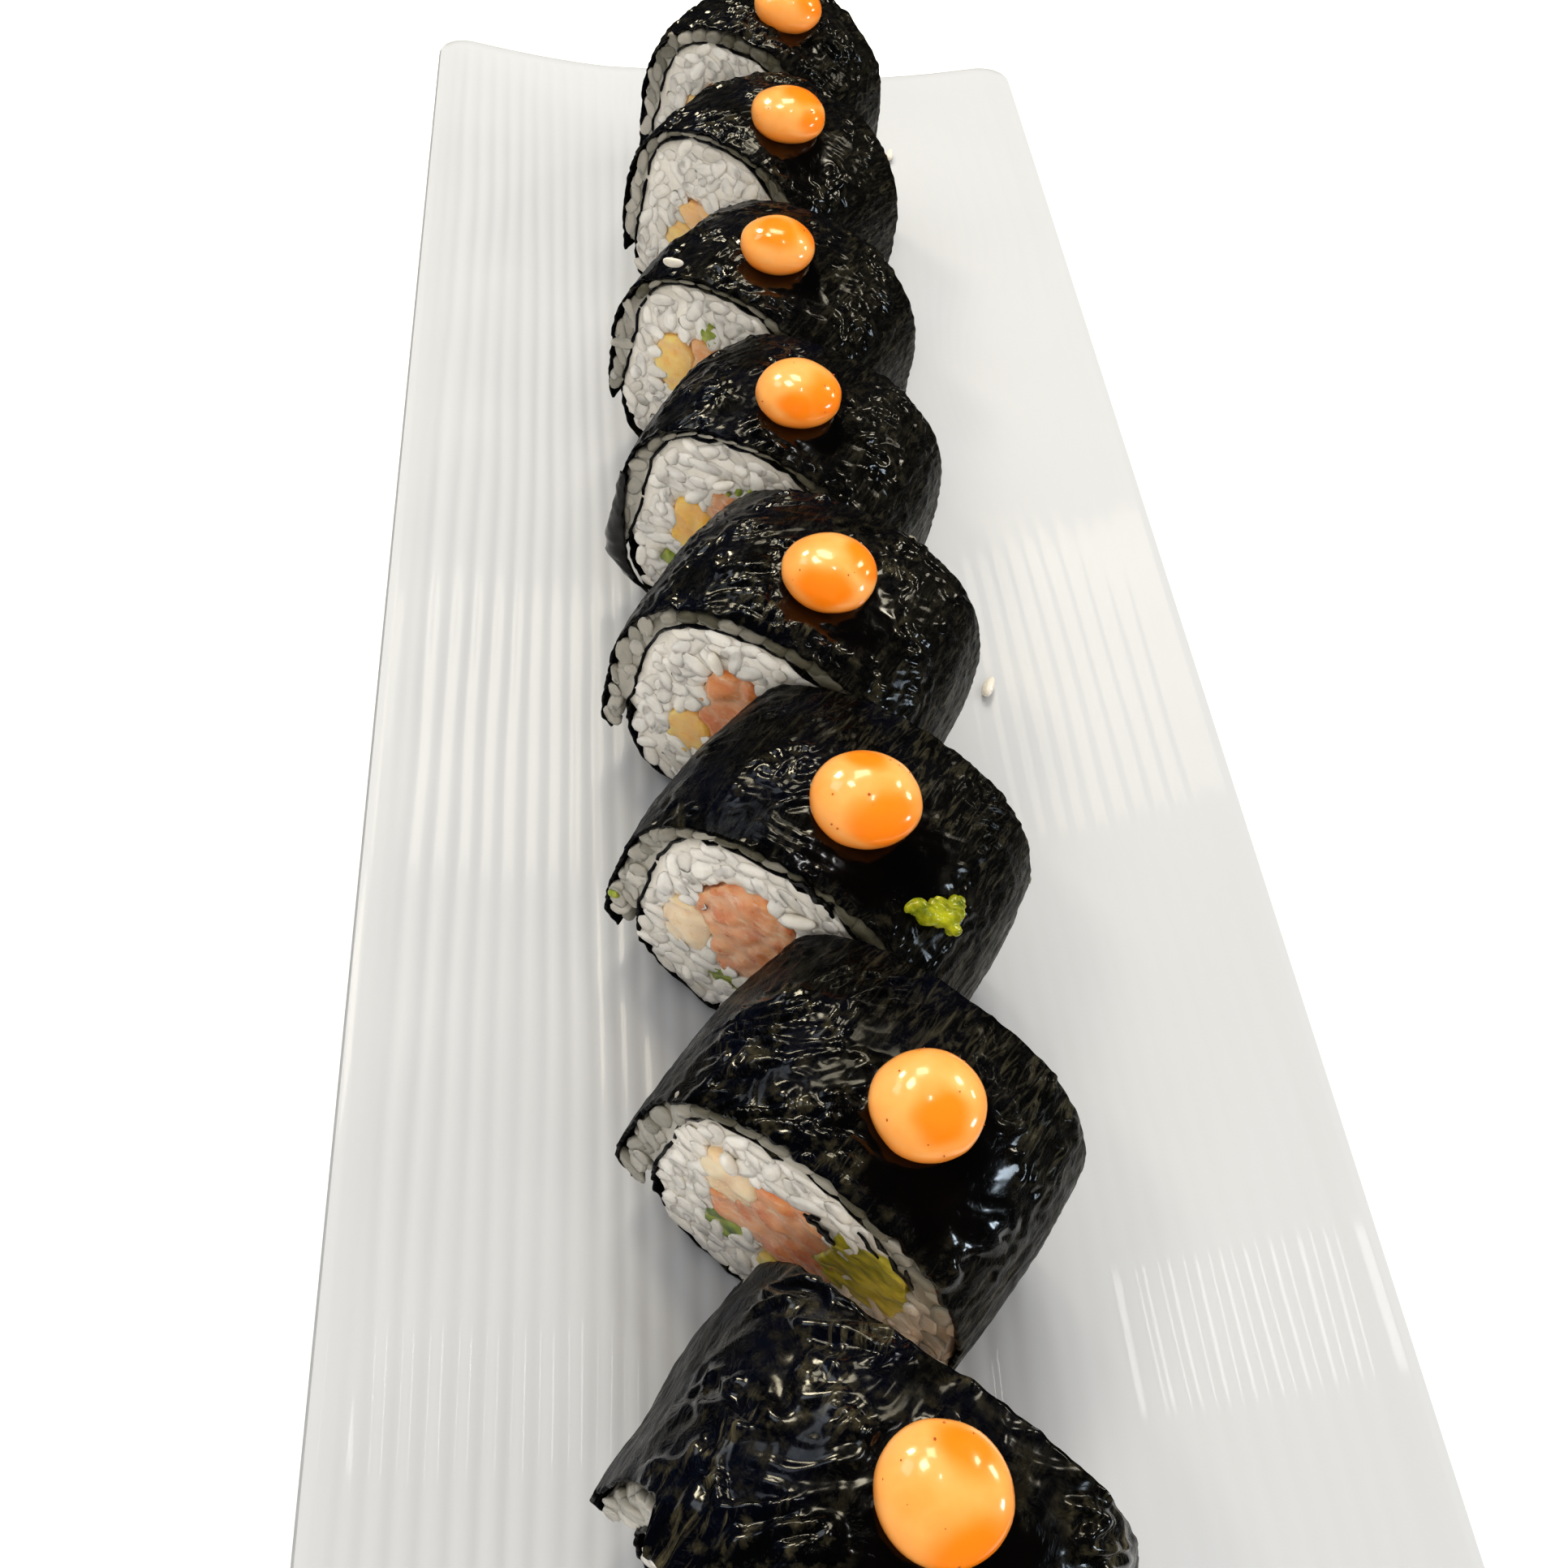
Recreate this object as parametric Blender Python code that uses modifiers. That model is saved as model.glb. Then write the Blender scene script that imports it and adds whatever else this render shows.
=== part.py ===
"""Thick maki roll, cut into eight slices that stand in a staggered row on a long porcelain plate.

Lengths are in metres. +Z is up, the plate's long side runs along Y, and the origin is on the table
under the middle of the plate. Slice 1 stands at the far end (+Y) and slice 8 at the near end.
"""
import math

import bmesh
import bpy

GAP = 0.0003                    # clearance between pieces that touch

# Plate: a gently bent rectangular dish on a rectangular foot ring
PLATE_WIDTH = 0.140
PLATE_LENGTH = 0.400
PLATE_CORNER_RADIUS = 0.008
PLATE_THICKNESS = 0.0065
PLATE_FLOOR = 0.012             # height of the eating surface at the middle
PLATE_CORNER_SEGMENTS = 3
RIM_RISE = 0.006                # the long sides bend up by this much
RIM_ROUND = 0.0016
FLAT_HALF_WIDTH = 0.028         # the middle strip that stays level
BEND_POWER = 1.5
BEND_STATIONS = (0.028, 0.038, 0.048, 0.057, 0.064, 0.0685)
FOOT_WIDTH = 0.086
FOOT_LENGTH = 0.340
FOOT_WALL = 0.006
FOOT_OVERLAP = 0.001            # how far the foot reaches into the plate before they are joined

# Roll: the nori winds once round the outside and then half way round the rice again
SHEET = 0.0009                  # thickness of the moist nori
BAND = 0.0046                   # rice between the outer winding and the inner one
HEIGHT = 0.0452                 # of the middle of a slice
DOME_POWER = 2.3                # rounder top
BASE_POWER = 3.4                # squarer, flattened base
TAIL_ANGLE = 205.0              # degrees: where the outer end of the sheet lies, low on the left
TAIL_FADE = 55.0                # degrees over which the loose end bends away
TURN_IN = (325.0, 405.0)        # degrees of winding over which the sheet turns inwards
WINDING = 528.0                 # degrees of winding in all
WINDING_STEPS = 30
TURNS = [WINDING * step / WINDING_STEPS for step in range(WINDING_STEPS + 1)]
BAND_OPENS = 362.0              # degrees of winding at which the rice shows beside the loose end
RICE_PAST_END = 4.0             # degrees of rice round the sheet's inner end
END_SHRINK = (0.035, 0.048)     # how much narrower and lower a cut face is than the middle

# Slices, in order from the far end
SLICE_PITCH = 0.0406
FIRST_SLICE_Y = 0.1430
SLICE_SHIFT = (2.5, -0.5, -3.4, -3.3, -3.8, -3.3, -3.2, -6.5)      # sideways, mm
SLICE_CREEP = (0.0, 1.0, -3.4, -2.0, 0.0, 0.8, 0.8, -4.8)          # along the row, mm
SLICE_TURN = (35, 41, 36, 31, 33, 37, 41, 39)                      # degrees off the plate's length
SLICE_LENGTH = (27, 29.5, 30.5, 29, 30.5, 30, 29.2, 29)             # along the roll, mm
HALF_WIDTH = (23.0, 24.0, 24.3, 24.3, 24.8, 25.0, 24.2, 23.8)      # mm
TAIL_LIFT = (1.0, 1.5, 1.2, 1.8, 3.6, 4.6, 5.0, 4.6)               # the loose end stands off, mm

# Fillings of each slice on its cut face: middle (right, up), width and height, all in mm
FILLINGS = (
    {"fish": (-2.5, 29.5, 9, 8), "cream": (-8.8, 24.5, 7, 8), "green": (-8.5, 15, 5, 5)},
    {"fish": (-5.6, 25.0, 9, 8), "cream": (-9.8, 19.2, 7, 8), "green": (-10.6, 12.2, 5, 5)},
    {"fish": (-3.8, 26.5, 8, 12), "cream": (-10.3, 24.5, 8, 13), "green": (-2.8, 34.4, 4, 4)},
    {"fish": (-1.3, 26.0, 9, 13), "cream": (-9.5, 22.2, 9, 13), "green": (-12.8, 12.8, 5, 4.5)},
    {"fish": (-3.4, 24.0, 12, 20), "cream": (-11.0, 15.5, 8, 10), "green": (-3.2, 11.2, 6, 4)},
    {"fish": (-4.0, 23.5, 17, 22), "cream": (-13.8, 18.0, 8, 12), "green": (-5.2, 10.2, 8, 4)},
    {"fish": (-0.8, 23.5, 15, 19), "cream": (-10.2, 27.0, 8, 12), "green": (-9.6, 13.4, 6.4, 7),
     "avocado": (11.2, 28.8, 10, 14), "paste": (-0.6, 11.4, 7, 6)},
    {"fish": (-2.0, 24.0, 15, 19), "cream": (-11.5, 20.0, 8, 12), "green": (-5.0, 10.8, 8, 5)},
)
FILLING_CORNERS = 10
FILLING_POWER = 2.8             # between an ellipse (2) and a box
FILLING_WOBBLE = 0.05           # of its radius
WRAPPED_CORNERS = 28            # of the outline that dots are seated on
CUTTER_OVERRUN = 0.002

# Sauce dots and the bit of green on slice 6
DOT_RIGHT = (5.0, 5.7, 2.0, 1.8, 3.4, 3.8, 6.2, 1.6)               # of a slice's middle, mm
DOT_FORWARD = (2.0, 2.7, 2.8, 3.0, 2.6, 2.4, 1.6, -2.5)            # towards the front cut face, mm
DOT_SIZE = (13.8, 14.0, 12.8, 13.4, 13.6, 14.2, 13.2, 13.4)        # diameters, mm
DOT_SQUASH = 0.62               # half height over half width
DOT_LIFT = 0.0014               # the dot's middle above the nori
BLOB_SEGMENTS = 10
BLOB_RINGS = 6
TOPPING_SLICE = 6
TOPPING_PLACE = (0.0184, 0.0074)
TOPPING_SIZE = (0.0095, 0.0060, 0.0050)
TOPPING_LIFT = 0.0008

COLOURS = {
    "plate": ((0.86, 0.86, 0.85), 0.18),
    "nori": ((0.010, 0.013, 0.014), 0.32),
    "rice": ((0.70, 0.70, 0.67), 0.38),
    "fish": ((0.72, 0.36, 0.27), 0.35),
    "cream": ((0.80, 0.62, 0.40), 0.40),
    "green": ((0.20, 0.26, 0.03), 0.40),
    "avocado": ((0.32, 0.32, 0.05), 0.42),
    "paste": ((0.80, 0.45, 0.20), 0.40),
    "sauce": ((0.95, 0.48, 0.16), 0.16),
    "topping": ((0.28, 0.38, 0.03), 0.35),
}


def new_collection(name):
    """A collection linked to the scene."""
    collection = bpy.data.collections.new(name)
    bpy.context.scene.collection.children.link(collection)
    return collection


def new_material(name, colour, roughness):
    """A plain Principled material."""
    material = bpy.data.materials.new(name)
    material.use_nodes = True
    shader = material.node_tree.nodes["Principled BSDF"]
    shader.inputs["Base Color"].default_value = (*colour, 1.0)
    shader.inputs["Roughness"].default_value = roughness
    shader.inputs["Metallic"].default_value = 0.0
    return material


def place(obj, collection):
    """Keep an object in one collection only."""
    for other in list(obj.users_collection):
        other.objects.unlink(obj)
    collection.objects.link(obj)
    return obj


def hide_cutter(obj):
    """Show a cutter as wire and leave it out of the model."""
    obj.hide_render = True
    obj.display_type = "WIRE"
    return place(obj, CUTTERS)


def edit_mesh(obj, change):
    """Run a bmesh edit on an object and write it back."""
    mesh = bmesh.new()
    mesh.from_mesh(obj.data)
    change(mesh)
    mesh.to_mesh(obj.data)
    mesh.free()


def smooth_step(value, start, end):
    """0 before start, 1 after end, and an even ramp between."""
    share = min(max((value - start) / (end - start), 0.0), 1.0)
    return share * share * (3.0 - 2.0 * share)


def section_radius(angle, half_width, half_height):
    """Distance from the middle of the section to the nori's middle line."""
    power = DOME_POWER if math.sin(angle) > 0 else BASE_POWER
    across = abs(math.cos(angle) / half_width) ** power
    upwards = abs(math.sin(angle) / half_height) ** power
    return (across + upwards) ** (-1.0 / power)


def section_point(angle, radius):
    """A point of the section, kept above the flat base."""
    middle = HEIGHT / 2
    return radius * math.cos(angle), max(middle + radius * math.sin(angle), 0.0)


def winding_point(wound, half_width, tail_lift, offset):
    """A point beside the nori's middle line, after so many degrees of winding from its loose end."""
    angle = math.radians(TAIL_ANGLE - wound)
    radius = section_radius(angle, half_width - SHEET / 2, (HEIGHT - SHEET) / 2)
    tail = max(1.0 - wound / TAIL_FADE, 0.0)
    radius += tail_lift * tail * tail
    radius -= BAND * smooth_step(wound, *TURN_IN)
    across, up = section_point(angle, radius + offset)
    return across, max(up, SHEET / 2 - offset)


def beside_sheet(turns, half_width, tail_lift, offset):
    """Points along one side of the wound sheet."""
    return [winding_point(turn, half_width, tail_lift, offset) for turn in turns]


def nori_outline(half_width, tail_lift):
    """Both sides of the wound sheet."""
    outer = beside_sheet(TURNS, half_width, tail_lift, SHEET / 2)
    inner = beside_sheet(TURNS[::-1], half_width, tail_lift, -SHEET / 2)
    return outer + inner


def rice_outline(half_width, tail_lift):
    """The rice inside the sheet, with the band that runs between its two windings."""
    clear = SHEET / 2 + GAP
    past_end = WINDING + RICE_PAST_END
    inside = beside_sheet(TURNS + [past_end], half_width, tail_lift, -clear)
    band = [past_end] + [turn for turn in TURNS[::-1] if turn > BAND_OPENS]
    outside = beside_sheet(band, half_width, tail_lift, clear)
    return inside + outside


def wrapped_outline(half_width):
    """The whole slice with its nori, a gap larger all round."""
    points = []
    for corner in range(WRAPPED_CORNERS):
        angle = math.tau * corner / WRAPPED_CORNERS
        radius = section_radius(angle, half_width, HEIGHT / 2) + GAP
        points.append(section_point(angle, radius))
    return points


def filling_outline(middle_x, middle_y, width, height, seed, grow=0.0):
    """A rounded, slightly uneven block of filling."""
    points = []
    for corner in range(FILLING_CORNERS):
        angle = math.tau * (corner + 0.35) / FILLING_CORNERS
        wobble = 1.0 + FILLING_WOBBLE * math.sin(3 * angle + 1.7 * seed) * math.cos(angle + seed)
        across = (abs(math.cos(angle)) / (width / 2)) ** FILLING_POWER
        upwards = (abs(math.sin(angle)) / (height / 2)) ** FILLING_POWER
        radius = wobble * (across + upwards) ** (-1.0 / FILLING_POWER) + grow
        points.append((middle_x + radius * math.cos(angle), middle_y + radius * math.sin(angle)))
    return points


def extruded(name, outline, length, half_length, parent, collection):
    """An upright outline with a length along the roll, lower and narrower at the cut faces."""
    curve = bpy.data.curves.new(name, "CURVE")
    curve.dimensions = "2D"
    curve.fill_mode = "BOTH"
    curve.extrude = length / 2
    spline = curve.splines.new("POLY")
    spline.points.add(len(outline) - 1)
    for point, (across, up) in zip(spline.points, outline):
        point.co = (across, up, 0.0, 1.0)
    spline.use_cyclic_u = True
    drawn = bpy.data.objects.new(name + "_outline", curve)
    collection.objects.link(drawn)
    bpy.context.view_layer.update()
    evaluated = drawn.evaluated_get(bpy.context.evaluated_depsgraph_get())
    mesh = bpy.data.meshes.new_from_object(evaluated)
    bpy.data.objects.remove(drawn)
    mesh.name = name
    obj = bpy.data.objects.new(name, mesh)
    collection.objects.link(obj)

    def shape(work):
        bmesh.ops.remove_doubles(work, verts=work.verts[:], dist=1e-6)
        everything = work.verts[:] + work.edges[:] + work.faces[:]
        bmesh.ops.bisect_plane(work, geom=everything, dist=1e-7, plane_co=(0, 0, 0), plane_no=(0, 0, 1))
        for vert in work.verts:
            outwards = (vert.co.z / half_length) ** 2
            vert.co.x *= 1.0 - END_SHRINK[0] * outwards
            vert.co.y *= 1.0 - END_SHRINK[1] * outwards
        bmesh.ops.recalc_face_normals(work, faces=work.faces[:])

    edit_mesh(obj, shape)
    obj.rotation_euler = (math.pi / 2, 0.0, 0.0)
    obj.parent = parent
    return obj


def subtract(obj, cutter, name, solver="EXACT"):
    """Cut one solid out of another."""
    modifier = obj.modifiers.new(name, "BOOLEAN")
    modifier.operation = "DIFFERENCE"
    modifier.solver = solver
    modifier.object = cutter


def top_height(across, half_width):
    """Height of the nori's top at a distance from the middle."""
    half_height = HEIGHT / 2
    share = 1.0 - abs(across / half_width) ** DOME_POWER
    return half_height + half_height * share ** (1.0 / DOME_POWER)


def plate_height(across):
    """How far the plate has bent up at a distance from its middle line."""
    beyond = max(abs(across) - FLAT_HALF_WIDTH, 0.0)
    return RIM_RISE * (beyond / (PLATE_WIDTH / 2 - FLAT_HALF_WIDTH)) ** BEND_POWER


def box(name, size, location, corner_radius, collection):
    """A box whose upright edges are rounded."""
    bpy.ops.mesh.primitive_cube_add(size=1.0, location=location)
    obj = bpy.context.object
    obj.name = name
    obj.data.name = name

    def shape(work):
        bmesh.ops.scale(work, vec=size, verts=work.verts[:])
        upright = [edge for edge in work.edges if abs(edge.verts[0].co.z - edge.verts[1].co.z) > size[2] / 2]
        bmesh.ops.bevel(work, geom=upright, offset=corner_radius, segments=PLATE_CORNER_SEGMENTS,
                        profile=0.5, affect="EDGES")

    edit_mesh(obj, shape)
    return place(obj, collection)


def make_plate():
    """The dish, bent up along its long sides, joined to its foot ring."""
    middle = PLATE_FLOOR - PLATE_THICKNESS / 2
    plate = box("plate", (PLATE_WIDTH, PLATE_LENGTH, PLATE_THICKNESS), (0, 0, middle),
                PLATE_CORNER_RADIUS, PART)

    def bend(work):
        for station in BEND_STATIONS:
            for side in (-station, station):
                everything = work.verts[:] + work.edges[:] + work.faces[:]
                bmesh.ops.bisect_plane(work, geom=everything, dist=1e-7, plane_co=(side, 0, 0),
                                       plane_no=(1, 0, 0))
        for vert in work.verts:
            vert.co.z += plate_height(vert.co.x)

    edit_mesh(plate, bend)
    foot_height = PLATE_FLOOR - PLATE_THICKNESS + FOOT_OVERLAP
    foot = box("foot_ring", (FOOT_WIDTH, FOOT_LENGTH, foot_height), (0, 0, foot_height / 2),
               PLATE_CORNER_RADIUS, CUTTERS)
    well = box("foot_well", (FOOT_WIDTH - 2 * FOOT_WALL, FOOT_LENGTH - 2 * FOOT_WALL, 3 * foot_height),
               (0, 0, foot_height / 2), PLATE_CORNER_RADIUS - FOOT_WALL / 2, CUTTERS)
    subtract(foot, well, "well")
    union = plate.modifiers.new("foot", "BOOLEAN")
    union.operation = "UNION"
    union.solver = "EXACT"
    union.object = foot
    rim = plate.modifiers.new("rim", "BEVEL")
    rim.width = RIM_ROUND
    rim.segments = 1
    rim.limit_method = "ANGLE"
    rim.angle_limit = math.radians(60)
    hide_cutter(foot)
    hide_cutter(well)
    plate.data.materials.append(MATERIALS["plate"])


def make_blob(name, parent, size, location, wrapped, material):
    """A rounded drop that takes the shape of the nori under it."""
    bpy.ops.mesh.primitive_uv_sphere_add(segments=BLOB_SEGMENTS, ring_count=BLOB_RINGS, radius=0.5)
    blob = bpy.context.object
    blob.name = name
    blob.data.name = name
    edit_mesh(blob, lambda work: bmesh.ops.scale(work, vec=size, verts=work.verts[:]))
    place(blob, PART)
    blob.location = location
    blob.parent = parent
    subtract(blob, wrapped, "nori")
    blob.data.shade_smooth()
    blob.data.materials.append(material)


def make_slice(index):
    """One slice: nori, rice, fillings and its sauce dot."""
    number = index + 1
    half_width = HALF_WIDTH[index] / 1000
    tail_lift = TAIL_LIFT[index] / 1000
    length = SLICE_LENGTH[index] / 1000
    along = FIRST_SLICE_Y - SLICE_PITCH * index + SLICE_CREEP[index] / 1000
    stand = bpy.data.objects.new(f"slice_{number}", None)
    PART.objects.link(stand)
    stand.location = (SLICE_SHIFT[index] / 1000, along, PLATE_FLOOR + GAP)
    stand.rotation_euler = (0.0, 0.0, -math.radians(SLICE_TURN[index]))

    def solid(name, outline, extra=0.0, collection=PART):
        return extruded(name, outline, length + extra, length / 2, stand, collection)

    nori = solid(f"nori_{number}", nori_outline(half_width, tail_lift))
    nori.data.materials.append(MATERIALS["nori"])
    rice = solid(f"rice_{number}", rice_outline(half_width, tail_lift))
    rice.data.materials.append(MATERIALS["rice"])

    cutters = {}
    pieces = {}
    for kind, (across, up, width, height) in FILLINGS[index].items():
        measures = [value / 1000 for value in (across, up, width, height)]
        seed = number + len(kind)
        pieces[kind] = solid(f"{kind}_{number}", filling_outline(*measures, seed))
        pieces[kind].data.materials.append(MATERIALS[kind])
        room = filling_outline(*measures, seed, grow=GAP)
        cutters[kind] = hide_cutter(solid(f"{kind}_{number}_room", room, CUTTER_OVERRUN, CUTTERS))
        subtract(rice, cutters[kind], kind, "MANIFOLD")
    for kind in cutters:
        if kind != "fish":
            subtract(pieces["fish"], cutters[kind], kind, "MANIFOLD")

    wrapped = hide_cutter(solid(f"wrapped_{number}", wrapped_outline(half_width), CUTTER_OVERRUN, CUTTERS))
    width = DOT_SIZE[index] / 1000
    right = DOT_RIGHT[index] / 1000
    forward = DOT_FORWARD[index] / 1000
    above = top_height(right, half_width) + DOT_LIFT
    make_blob(f"sauce_{number}", stand, (width, width, width * DOT_SQUASH),
              (right, -forward, above), wrapped, MATERIALS["sauce"])
    if number == TOPPING_SLICE:
        above = top_height(TOPPING_PLACE[0], half_width) + TOPPING_LIFT
        make_blob("green_topping", stand, TOPPING_SIZE,
                  (TOPPING_PLACE[0], -TOPPING_PLACE[1], above), wrapped, MATERIALS["topping"])


for leftover in list(bpy.data.objects):
    bpy.data.objects.remove(leftover, do_unlink=True)

PART = new_collection("maki_roll_on_plate")
CUTTERS = new_collection("cutters")
MATERIALS = {name: new_material(name, *finish) for name, finish in COLOURS.items()}

make_plate()
for slice_index in range(len(FILLINGS)):
    make_slice(slice_index)
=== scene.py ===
"""Looks of a thick maki roll, cut into eight slices in a staggered row on a long porcelain plate.

Lengths are in metres. Slice 1 stands at the far end of the plate (+Y) and slice 8 at the near end.
"""
import math

import bpy
import numpy as np
from mathutils import Matrix, Vector, noise


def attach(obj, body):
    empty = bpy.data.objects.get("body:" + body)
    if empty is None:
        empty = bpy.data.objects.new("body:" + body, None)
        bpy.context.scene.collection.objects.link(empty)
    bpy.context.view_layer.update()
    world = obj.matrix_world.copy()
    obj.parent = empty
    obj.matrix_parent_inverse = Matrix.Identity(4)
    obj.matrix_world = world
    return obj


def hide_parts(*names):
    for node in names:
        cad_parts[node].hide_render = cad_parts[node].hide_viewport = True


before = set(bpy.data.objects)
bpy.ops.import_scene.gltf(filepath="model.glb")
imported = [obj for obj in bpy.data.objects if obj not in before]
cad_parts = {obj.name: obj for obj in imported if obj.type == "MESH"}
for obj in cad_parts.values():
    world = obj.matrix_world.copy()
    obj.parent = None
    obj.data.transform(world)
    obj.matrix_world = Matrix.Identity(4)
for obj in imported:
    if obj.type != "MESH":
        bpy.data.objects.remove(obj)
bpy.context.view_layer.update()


# ---------------------------------------------------------------------------------------------
# Plate: a long dish of white porcelain, pressed with shallow ribs like wood grain that bend round a
# knot, with a plain raised edge. Its long sides bend up, and it is glazed all over down to its foot.
# ---------------------------------------------------------------------------------------------
PLATE_HALF_WIDTH = 0.070
PLATE_HALF_LENGTH = 0.200
PLATE_CORNER = 0.008
PLATE_THICKNESS = 0.0065
PLATE_FLOOR = 0.012
RIM_RISE = 0.006
RIM_ROUND = 0.0016
RIM_BAND = 0.0044               # the plain edge outside the ribs
FLAT_HALF_WIDTH = 0.028
BEND_POWER = 1.5
PLATE_COLUMNS = 290
PLATE_ROWS = 180
RIB_PITCH = 0.0034
RIB_DEPTH = 0.00020
KNOT = (0.047, 0.080)
KNOT_SPREAD = (0.0075, 0.020)
KNOT_PUSH = 0.013
RIB_WAVES = ((0.0016, 0.022, 0.110, 3.1), (0.0005, 0.007, 0.035, 7.7))   # how far, wave sizes, seed
RIB_WAVE_RIGHT = (0.0030, 0.060, 0.100, 15.2)      # one more wave, on the right
RIBS_SHALLOW = (-0.010, 0.030)                     # they get shallower between these, to the right
PORCELAIN_WHITE = (0.538, 0.543, 0.558)
PORCELAIN_GREY = (0.518, 0.523, 0.538)
FOOT_HALF_WIDTH = 0.043
FOOT_HALF_LENGTH = 0.170
FOOT_CORNER = PLATE_CORNER * 0.7
# Each ring below the top: how far inside the plate's outline, or of the foot's, and its height.
# A height is given from the plate's bent underside, or from the table where the ring is on the foot.
PLATE_RINGS = ((0.0005, 0.0062), (0.0, 0.0052), (0.0, 0.0026), (0.0008, 0.0009), (0.0022, 0.0),
               (0.010, 0.0), (0.018, 0.0))
FOOT_RINGS = ((-0.0015, 0.0055), (0.0, 0.0044), (0.0002, 0.0008), (0.0010, 0.0), (0.0050, 0.0),
              (0.0058, 0.0008), (0.0060, 0.0046), (0.0075, 0.0055))


def smooth_ramp(value, start, end):
    """0 before start, 1 after end, and an even ramp between."""
    share = np.clip((value - start) / (end - start), 0.0, 1.0)
    return share * share * (3.0 - 2.0 * share)


def ripple(first, second, seed):
    """Soft noise between about -1 and 1 over two coordinates."""
    return np.array([noise.noise((a, b, seed)) for a, b in zip(first.ravel(), second.ravel())])


def read_points(piece):
    """A piece's vertices as rows of x, y, z."""
    points = np.empty(len(piece.data.vertices) * 3)
    piece.data.vertices.foreach_get("co", points)
    return points.reshape(-1, 3)


def write_points(piece, points):
    """Move a piece's vertices."""
    piece.data.vertices.foreach_set("co", np.asarray(points, float).ravel())
    piece.data.update()


def deselect():
    bpy.ops.object.select_all(action="DESELECT")


def take(name):
    """Name the piece just made."""
    piece = bpy.context.object
    piece.name = name
    piece.data.name = name
    return piece


def attribute(piece, name, values):
    """A number for each vertex, which the material reads."""
    layer = piece.data.attributes.new(name, "FLOAT", "POINT")
    layer.data.foreach_set("value", np.asarray(values, float))


def apply_modifier(piece, name, kind, **settings):
    """Add a modifier and apply it."""
    deselect()
    piece.select_set(True)
    bpy.context.view_layer.objects.active = piece
    modifier = piece.modifiers.new(name, kind)
    for setting, value in settings.items():
        setattr(modifier, setting, value)
    bpy.ops.object.modifier_apply(modifier=name)


def new_finish(name, colour, roughness, **sockets):
    """A material with its Principled shader, whose other sockets are set by name."""
    material = bpy.data.materials.new(name)
    material.use_nodes = True
    shader = material.node_tree.nodes["Principled BSDF"]
    shader.inputs["Base Color"].default_value = (*colour, 1.0)
    shader.inputs["Roughness"].default_value = roughness
    for socket, value in sockets.items():
        shader.inputs[socket.replace("_", " ")].default_value = value
    return material


def node(material, kind, inputs=(), **settings):
    """Add a node. An input is a value, or another node's output to link."""
    made = material.node_tree.nodes.new("ShaderNode" + kind)
    for setting, value in settings.items():
        setattr(made, setting, value)
    for socket, value in dict(inputs).items():
        if isinstance(value, bpy.types.NodeSocket):
            material.node_tree.links.new(value, made.inputs[socket])
        else:
            made.inputs[socket].default_value = value
    return made


def from_attribute(material, name):
    """The number that each vertex carries."""
    return node(material, "Attribute", attribute_name=name).outputs["Fac"]


def into_shader(material, socket, output):
    """Link an output to the material's Principled shader."""
    shader = material.node_tree.nodes["Principled BSDF"]
    material.node_tree.links.new(output, shader.inputs[socket])


def object_coordinates(material):
    return node(material, "TexCoord").outputs["Object"]


def grain_of(material, place, scale, detail=3.0, roughness=0.55, stretch=(1.0, 1.0, 1.0), curl=0.0):
    """Noise between 0 and 1 at so many waves a metre, stretched along an axis or curled up."""
    placed = node(material, "Mapping", {"Vector": place, "Scale": stretch}).outputs[0]
    made = node(material, "TexNoise", {"Vector": placed, "Scale": scale, "Detail": detail,
                                       "Roughness": roughness, "Distortion": curl})
    return made.outputs["Fac"]


def ramp(material, value, low, high, first=0.0, last=1.0):
    """Stretch a value from low..high to first..last."""
    made = node(material, "MapRange", {"Value": value, "From Min": low, "From Max": high,
                                       "To Min": first, "To Max": last})
    return made.outputs["Result"]


def colour_mix(material, share, first, second, how="MIX"):
    """Mix two colours, each a value or an output."""
    made = node(material, "Mix", data_type="RGBA", blend_type=how)
    for socket, value in ((0, share), (6, first), (7, second)):
        if isinstance(value, bpy.types.NodeSocket):
            material.node_tree.links.new(value, made.inputs[socket])
        elif socket == 0:
            made.inputs[socket].default_value = value
        else:
            made.inputs[socket].default_value = (*value, 1.0)
    return made.outputs[2]


def mottled(material, noise_value, low, high, first, second):
    """One colour where a noise is below low, another where it is above high."""
    return colour_mix(material, ramp(material, noise_value, low, high), first, second)


def times(material, first, second):
    return node(material, "Math", {0: first, 1: second}, operation="MULTIPLY").outputs[0]


def plus(material, first, second):
    return node(material, "Math", {0: first, 1: second}, operation="ADD").outputs[0]


def bump(material, height, distance, strength=1.0):
    """Fine relief from a height between 0 and 1."""
    made = node(material, "Bump", {"Height": height, "Distance": distance, "Strength": strength})
    into_shader(material, "Normal", made.outputs["Normal"])


def set_down(piece, slot, *nodes):
    """The piece moves with the plate, and stands for those nodes."""
    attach(piece, "root")
    if nodes:
        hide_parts(*nodes)


def plate_bend(across):
    """How far the plate has bent up at a distance from its middle line."""
    beyond = np.maximum(np.abs(across) - FLAT_HALF_WIDTH, 0.0)
    return RIM_RISE * (beyond / (PLATE_HALF_WIDTH - FLAT_HALF_WIDTH)) ** BEND_POWER


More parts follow.
